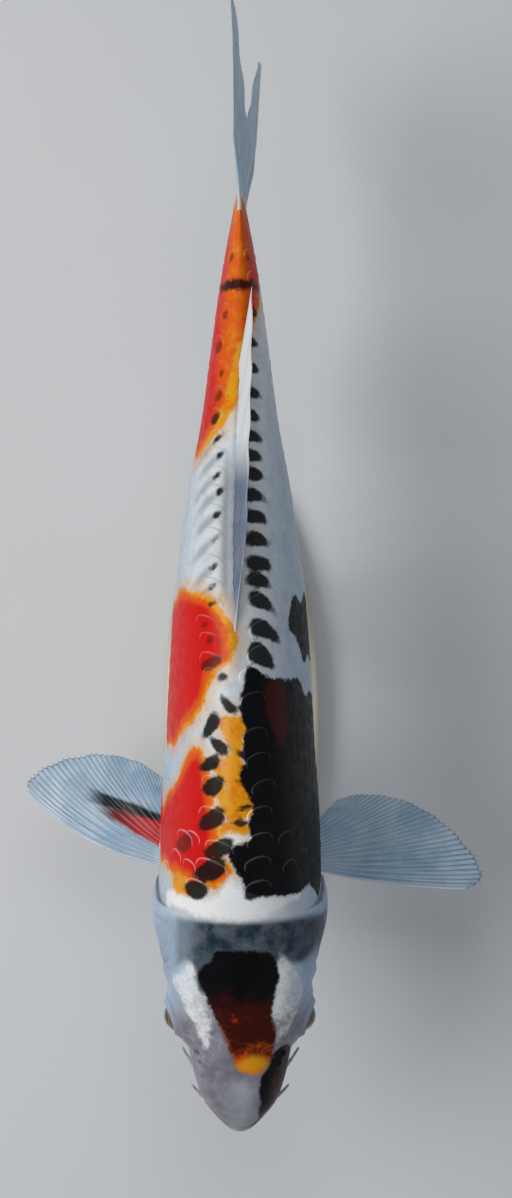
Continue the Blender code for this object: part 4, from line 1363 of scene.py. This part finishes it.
class KOI_OT_side_scales(bpy.types.Operator):
    """A loose row of scales along each lateral line, and a few on the shoulders"""
    bl_idname = "koi.side_scales"
    bl_label = "Side scales"

    def execute(self, context):
        size = sizes()
        for side, sign in SIDES.items():
            spots = []
            station, number = 0.300, 0
            while station < 0.955:
                share = shrink_at(station) * (0.80 + 0.10 * math.sin(number * 1.9 + sign))
                turn = math.pi / 2 - sign * (math.pi / 2 - 0.05)
                arc = float(arc_at(np.array([station]), np.array([turn]))[0])
                spots.append((station, arc + 0.0008 * math.sin(number * 2.7), 0.0098 * share,
                              0.0088 * share, 0.0, size.scale_lift * 0.45))
                station += 0.0225 * share + 0.002
                number += 1
            for station, arc in ((0.292, 0.024), (0.300, 0.034), (0.322, 0.022), (0.285, 0.044)):
                spots.append((station, arc * sign, 0.0095, 0.0105, -sign * 0.3,
                              size.scale_lift * 0.5))
            scale_piece(f"scales_side_{side}", spots)
        return {"FINISHED"}


# ---------------------------------------------------------------- fins

def ray_share(u, longest, shortest):
    before = 1.0 - 0.10 * (1.0 - u / longest) ** 2
    after = 1.0 - (1.0 - shortest) * (np.maximum(u - longest, 0.0) / (1.0 - longest)) ** 1.25
    return np.where(u < longest, before, after)


def dorsal_point(u, v):
    """The dorsal fin lies folded back along the back and leans to the fish's left."""
    station = DORSAL_BASE[0] + (DORSAL_BASE[1] - DORSAL_BASE[0]) * u
    root = body(station, math.pi / 2, -FIN_BURY)
    length = DORSAL_RAYS[0] + (DORSAL_RAYS[1] - DORSAL_RAYS[0]) * u
    length = length * (1.0 - 0.25 * (1.0 - np.minimum(u / 0.12, 1.0)) ** 2)
    run = length * v * math.cos(DORSAL_RISE)
    ahead = body(station + run / LENGTH, math.pi / 2, -FIN_BURY)
    rise = FIN_BURY * v + length * v * math.sin(DORSAL_RISE)
    lean = math.tan(DORSAL_LEAN) * np.maximum(rise - FIN_BURY * v, 0.0)
    return np.stack((ahead[..., 0] + lean, root[..., 1] + run, ahead[..., 2] + rise), axis=-1)


def dorsal_plane(u, v):
    """The dorsal fin as a plane that leans as it does."""
    u, v = np.broadcast_arrays(np.asarray(u, float), np.asarray(v, float))
    return np.stack((math.sin(DORSAL_LEAN) * v, u, math.cos(DORSAL_LEAN) * v), axis=-1)


def anal_point(u, v):
    station = ANAL_BASE[0] + (ANAL_BASE[1] - ANAL_BASE[0]) * u
    root = body(station, -math.pi / 2, -FIN_BURY)
    length = ANAL_RAYS[1] + (ANAL_RAYS[0] - ANAL_RAYS[1]) * ray_share(u, 0.15, 0.0)
    sweep = ANAL_SWEEP[0] + (ANAL_SWEEP[1] - ANAL_SWEEP[0]) * u + 0.25 * (1 - u) * (1 - v)
    run = np.stack((sweep * 0.0, np.cos(sweep), -np.sin(sweep)), axis=-1)
    return root + run * ((length + FIN_BURY) * v)[..., None]


def tail_point(u, v):
    """The tail fin: u goes from the lower edge to the upper one."""
    side = 2 * u - 1
    reach = np.abs(side)
    lobe = reach ** 1.5 - 0.16 * (np.maximum(reach - 0.7, 0.0) / 0.3) ** 2
    length = TAIL_FORK + (TAIL_LOBE - TAIL_FORK) * lobe
    angle = TAIL_SPREAD * side
    bow = 0.004 * np.sin(math.pi * v) * side
    run = length * v * np.cos(angle) - FIN_BURY * (1 - v)
    rise = TAIL_ROOT_HALF * side + length * v * np.sin(angle) + bow
    lean = math.tan(TAIL_LEAN) * rise * np.minimum(3 * v, 1.0)
    sway = 0.003 * np.sin(2.2 * v) * (0.5 + 0.5 * side) + 0.0015 * v
    return np.stack((sway - lean, station_y(TAIL_ROOT_STATION) + run, AXIS + rise), axis=-1)


def paired_point(fin, side, pose, even=False):
    """A paired fin as a function of u, from the leading edge, and v, from the root.

    An even fin has rays of one length.
    """
    sweep, droop, curl = (math.radians(value) for value in pose)
    start, end = fin["root"]
    angle = fin["angle"] if side > 0 else math.pi - fin["angle"]

    def point(u, v):
        root = body(start + (end - start) * u, angle, -FIN_BURY)
        share = 1.0 if even else ray_share(u, fin["longest"], fin["shortest"])
        reach = fin["length"] * share * v
        turn = sweep + fin["fan"] * u ** 1.15 - curl * (1.0 - u) * (1.0 - v)
        fall = droop * (0.6 + 0.4 * v) + 0.12 * u * v
        out, back = np.cos(turn) * np.cos(fall), np.sin(turn) * np.cos(fall)
        return root + np.stack((side * out, back, -np.sin(fall)), axis=-1) * reach[..., None]

    return point


# A short way over a fin, the columns of the grid to each ray, and how far the rays' rows billow
SHIFT = 0.002
RAY_COLUMNS = 16
BILLOW = 0.0004


def fin_piece(solid, point, plane, rays, along, material):
    """A fin with raised rays on both faces. The grid goes up one face and down the other.

    plane is like point, and gives the fin's thickness its direction.
    """
    size = sizes()
    across = RAY_COLUMNS * rays

    def sheet_place(x):
        return np.where(x < 0.5, 2 * x, 2 - 2 * x), np.where(x < 0.5, 1.0, -1.0)

    def place(x, y):
        (u, face), v = sheet_place(x), y
        count = np.where(v < 0.5, rays, rays * 2)
        comb = np.abs((u * count) % 1.0 - 0.5)
        ray = smooth(0.22, 0.06, comb)
        reach = v * (1.0 - 0.016 * (1.0 - ray) * smooth(0.8, 1.0, v)
                     - 0.010 * (0.5 + 0.5 * np.sin(u * rays * 2.7 + 1.0)) * v)
        here = point(u, reach)
        (u_low, u_high), (v_low, v_high) = (
            (np.maximum(w - SHIFT, 0.0), np.minimum(w + SHIFT, 1.0)) for w in (u, reach))
        run_u = plane(u_high, reach) - plane(u_low, reach)
        run_v = plane(u, v_high) - plane(u, v_low)
        normal = np.cross(run_u, run_v)
        normal /= np.maximum(np.linalg.norm(normal, axis=-1, keepdims=True), 1e-12)
        thick = size.fin_root + (size.fin_edge - size.fin_root) * np.minimum(v * 1.25, 1.0) ** 0.6
        thick = thick * (0.62 + 0.38 * ray)
        lead = 1.0 + 0.5 * bell(u - 0.012, 0.02)
        shut = np.sqrt(np.clip(np.minimum(u, 1 - u) * across / 4.0, 0, 1))
        shut *= np.sqrt(np.clip((1 - v) * along / 2.0, 0, 1))
        billow = BILLOW * np.sin(u * rays * math.pi * 0.5) * v * (1 - bell(v - 1, 0.05) * 0.3)
        offset = face * thick * lead * shut / 2 + billow
        return here + normal * offset[..., None]

    def fields(x, y):
        u, _ = sheet_place(x)
        return {"blade": (u, y, 0.0)}

    obj = shaped(f"{solid}_blade", across, along, place, fields, merge=1e-5)
    settle(obj, material, "fin", solid)


class KOI_OT_paired_fins(bpy.types.Operator):
    """Pectoral and pelvic fins on both sides"""
    bl_idname = "koi.paired_fins"
    bl_label = "Paired fins"

    def execute(self, context):
        for side, sign in SIDES.items():
            for kind, fin, along, name, streak in (
                    ("pectoral", PECTORAL, 60, f"koi_pectoral_fin_{side}", side == "right"),
                    ("pelvic", PELVIC, 36, "koi_pelvic_fin", False)):
                rays, pose = RAYS[kind], POSES[kind][side]
                material = once(name, lambda label: fin_material(label, rays, streak=streak))
                fin_piece(f"{kind}_fin_{side}", paired_point(fin, sign, pose),
                          paired_point(fin, sign, pose, True), rays, along, material)
        return {"FINISHED"}


class KOI_OT_middle_fins(bpy.types.Operator):
    """Dorsal, anal and tail fins"""
    bl_idname = "koi.middle_fins"
    bl_label = "Middle fins"

    def execute(self, context):
        for kind, point, plane, along, looks in (
                ("dorsal", dorsal_point, dorsal_plane, 36, {"folded": True, "opacity": 0.95}),
                ("anal", anal_point, anal_point, 36, {}),
                ("tail", tail_point, tail_point, 64, {})):
            rays = RAYS[kind]
            material = once(f"koi_{kind}_fin", lambda label: fin_material(label, rays, **looks))
            fin_piece(f"{kind}_fin", point, plane, rays, along, material)
        return {"FINISHED"}


# ---------------------------------------------------------------- eyes and feelers

class KOI_OT_eyes(bpy.types.Operator):
    """Two eyeballs with a round pupil, a thin ring round it and a clear glossy coat"""
    bl_idname = "koi.eyes"
    bl_label = "Eyes"

    def execute(self, context):
        radius = sizes().eye_radius - 0.0001
        for side, sign in SIDES.items():
            bm = bmesh.new()
            bmesh.ops.create_uvsphere(bm, u_segments=64, v_segments=40, radius=1.0)
            grid = bm.verts.layers.float_vector.new("grid")
            centre, out = eye_frame(sign)
            for vert in bm.verts:
                turn = math.acos(min(max(vert.co.z, -1.0), 1.0)) / (math.pi / 2)
                vert[grid] = (turn, 0.0, 0.0)
                bulge = 1.0 + 0.05 * math.exp(-((turn / 0.5) ** 2))
                vert.co = Vector((vert.co.x, vert.co.y, vert.co.z * EYE_FLATNESS * bulge)) * radius
            turn = Vector(out).to_track_quat("Z", "Y").to_matrix().to_4x4()
            bmesh.ops.transform(bm, verts=bm.verts, matrix=Matrix.Translation(centre) @ turn)
            obj = finish(f"eye_ball_{side}", bm, lambda x, y: {"dial": (x, y, 0.0)})
            settle(obj, once("koi_eye", eye_material), "eye", f"eye_{side}")
        return {"FINISHED"}


def feeler_point(side, station, angle, length, root, heading):
    """A feeler as a function of the turn round it and the share of its length."""
    start = body(station, angle if side > 0 else math.pi - angle, -root)
    way = np.array(heading) * (side, 1.0, 1.0)
    way = way / np.linalg.norm(way)
    aside = np.cross(way, (0.0, 0.0, 1.0))
    aside /= np.linalg.norm(aside)
    over = np.cross(aside, way)

    def place(x, y):
        share = np.minimum(y * 1.08, 1.0)[:, None]
        cap = np.sqrt(np.clip((1.0 - y) / 0.08, 0.0, 1.0))[:, None]
        radius = (root + (BARBEL_TIP - root) * share + BARBEL_FLARE * np.exp(-share * 14.0)) * cap
        radius *= 1.0 + 0.012 * np.sin(share * 60.0)
        turn = x[:, None] * 2 * math.pi
        ring = aside * np.cos(turn) + over * np.sin(turn)
        bend = np.array(BARBEL_BEND) * share ** 2 * length
        return start + way * (length + root) * share + bend + ring * radius

    return place


class KOI_OT_barbels(bpy.types.Operator):
    """Two soft feelers at each corner of the mouth"""
    bl_idname = "koi.barbels"
    bl_label = "Feelers"

    def execute(self, context):
        for side, sign in SIDES.items():
            for kind, shape in BARBELS.items():
                obj = shaped(f"feeler_{kind}_{side}", 20, 40, feeler_point(sign, *shape),
                             merge=1e-6)
                settle(obj, once("koi_feeler", barbel_material), "barbel",
                       f"barbel_{kind}_{side}")
        return {"FINISHED"}


# ---------------------------------------------------------------- stand and stage

def foot_plate():
    """The oval base with a rounded upper edge."""
    bm = bmesh.new()
    bmesh.ops.create_cone(bm, cap_ends=True, segments=160, radius1=BASE_WIDTH / 2,
                          radius2=BASE_WIDTH / 2, depth=BASE_HEIGHT)
    bmesh.ops.scale(bm, verts=bm.verts, vec=(1, BASE_LENGTH / BASE_WIDTH, 1))
    bmesh.ops.translate(bm, verts=bm.verts, vec=(0, 0, BASE_HEIGHT / 2))
    top = [e for e in bm.edges if min(v.co.z for v in e.verts) > BASE_HEIGHT * 0.9]
    bmesh.ops.bevel(bm, geom=top, offset=BASE_ROUNDING, segments=5, profile=0.5, affect="EDGES",
                    material=-1)
    base = finish("stand_foot_plate", bm)
    settle(base, once("stand_pale_wood", wood_material), "stand_wood", "stand_base")


def post(name, station):
    """A rod drawn up from a ring at its foot, which ends inside the belly."""
    low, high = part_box(f"stand_rod_{name}")
    shaft = high[2] - low[2] - sum(step for step, _ in ROD_FOOT) + ROD_BURY
    around = Matrix.Translation((0, -station_y(station), 0))
    wide = ROD_FOOT[0][1]
    bm = bmesh.new()
    bmesh.ops.create_circle(bm, cap_ends=True, segments=48, radius=ROD_RADIUS * wide)
    bmesh.ops.translate(bm, verts=bm.verts, vec=(0, station_y(station), low[2]))
    ring = list(bm.edges)
    for step, share in (*ROD_FOOT, (shaft, 1.0)):
        grown = bmesh.ops.extrude_edge_only(bm, edges=ring)["geom"]
        verts = [g for g in grown if isinstance(g, bmesh.types.BMVert)]
        ring = [g for g in grown if isinstance(g, bmesh.types.BMEdge)
                and g.verts[0] in verts and g.verts[1] in verts]
        bmesh.ops.translate(bm, verts=verts, vec=(0, 0, step))
        bmesh.ops.scale(bm, verts=verts, vec=(share / wide, share / wide, 1), space=around)
        wide = share
    bmesh.ops.contextual_create(bm, geom=ring)
    bmesh.ops.recalc_face_normals(bm, faces=bm.faces)
    rod = finish(f"stand_post_{name}", bm)
    for polygon in rod.data.polygons:
        polygon.use_smooth = len(polygon.vertices) == 4
    settle(rod, once("stand_brushed_steel", steel_material), "stand_steel", f"stand_rod_{name}")


class KOI_OT_stand(bpy.types.Operator):
    """A flat oval base and two short rods"""
    bl_idname = "koi.stand"
    bl_label = "Stand"

    def execute(self, context):
        foot_plate()
        for name, station in ROD_STATIONS.items():
            post(name, station)
        return {"FINISHED"}


# Each light's place, size, power and tint
LIGHTS = {
    "key": ((-0.95, 0.10, 1.10), (0.8, 0.9), 12.5, (1.0, 0.99, 0.97)),
    "fill": ((1.1, -0.5, 0.9), (1.2, 1.2), 1.8, (0.92, 0.96, 1.0)),
    "top": ((0.0, 0.7, 1.5), (0.8, 0.6), 3.2, (1.0, 1.0, 1.0)),
}
SKY, SKY_STRENGTH = (0.8, 0.86, 0.95), 0.20
CAMERA_PLACE = (0.00635, 0.05434)
CAMERA_LENS, CAMERA_SENSOR = 65.1, 36.0


def area_light(name, place, size, power, tint):
    light = bpy.data.lights.new(name, "AREA")
    light.shape = "RECTANGLE"
    light.size, light.size_y = size
    light.energy = power
    light.color = tint
    obj = bpy.data.objects.new(name, light)
    obj.location = place
    aim = Vector((0.0, 0.0, AXIS)) - Vector(place)
    obj.rotation_euler = aim.to_track_quat("-Z", "Y").to_euler()
    bpy.context.scene.collection.objects.link(obj)


class KOI_OT_stage(bpy.types.Operator):
    """A pale floor, soft light from the fish's right, and the camera straight above"""
    bl_idname = "koi.stage"
    bl_label = "Stage"

    def execute(self, context):
        scene = context.scene
        bm = bmesh.new()
        bmesh.ops.create_grid(bm, x_segments=4, y_segments=4, size=3.0)
        floor = finish("studio_floor", bm)
        floor.data.materials.append(once("studio_floor", floor_material))
        for name, light in LIGHTS.items():
            area_light(name, *light)
        world = bpy.data.worlds.new("studio")
        world.use_nodes = True
        feed(world.node_tree.nodes["Background"], {"Color": SKY, "Strength": SKY_STRENGTH})
        scene.world = world
        scene.view_settings.view_transform = "Standard"
        camera = bpy.data.cameras.new("camera")
        camera.sensor_fit = "VERTICAL"
        camera.sensor_height = CAMERA_SENSOR
        camera.lens = CAMERA_LENS
        camera.clip_start = 0.01
        eye = bpy.data.objects.new("camera", camera)
        eye.location = (*CAMERA_PLACE, AXIS + sizes().camera_height)
        scene.collection.objects.link(eye)
        scene.camera = eye
        return {"FINISHED"}


OPERATORS = (
    KOI_OT_skin, KOI_OT_back_scales, KOI_OT_side_scales, KOI_OT_paired_fins,
    KOI_OT_middle_fins, KOI_OT_eyes, KOI_OT_barbels, KOI_OT_stand, KOI_OT_stage,
)


class KOI_PT_panel(bpy.types.Panel):
    """Lists the steps that build the koi"""
    bl_idname = "KOI_PT_panel"
    bl_label = "Koi carp"
    bl_space_type = "VIEW_3D"
    bl_region_type = "UI"
    bl_category = "Koi"

    def draw(self, context):
        for group in (context.scene.koi_sizes, context.scene.koi_colours):
            for key in group.bl_rna.properties.keys():
                if key not in ("rna_type", "name"):
                    self.layout.prop(group, key)
        for operator in OPERATORS:
            self.layout.operator(operator.bl_idname)


CLASSES = (KoiSizes, KoiColours, *OPERATORS, KOI_PT_panel)


def register():
    for item in CLASSES:
        bpy.utils.register_class(item)
    bpy.types.Scene.koi_sizes = PointerProperty(type=KoiSizes)
    bpy.types.Scene.koi_colours = PointerProperty(type=KoiColours)


def unregister():
    del bpy.types.Scene.koi_sizes
    del bpy.types.Scene.koi_colours
    for item in reversed(CLASSES):
        bpy.utils.unregister_class(item)


def main():
    register()
    for operator in OPERATORS:
        group, name = operator.bl_idname.split(".")
        getattr(getattr(bpy.ops, group), name)()


if __name__ == "__main__":
    main()
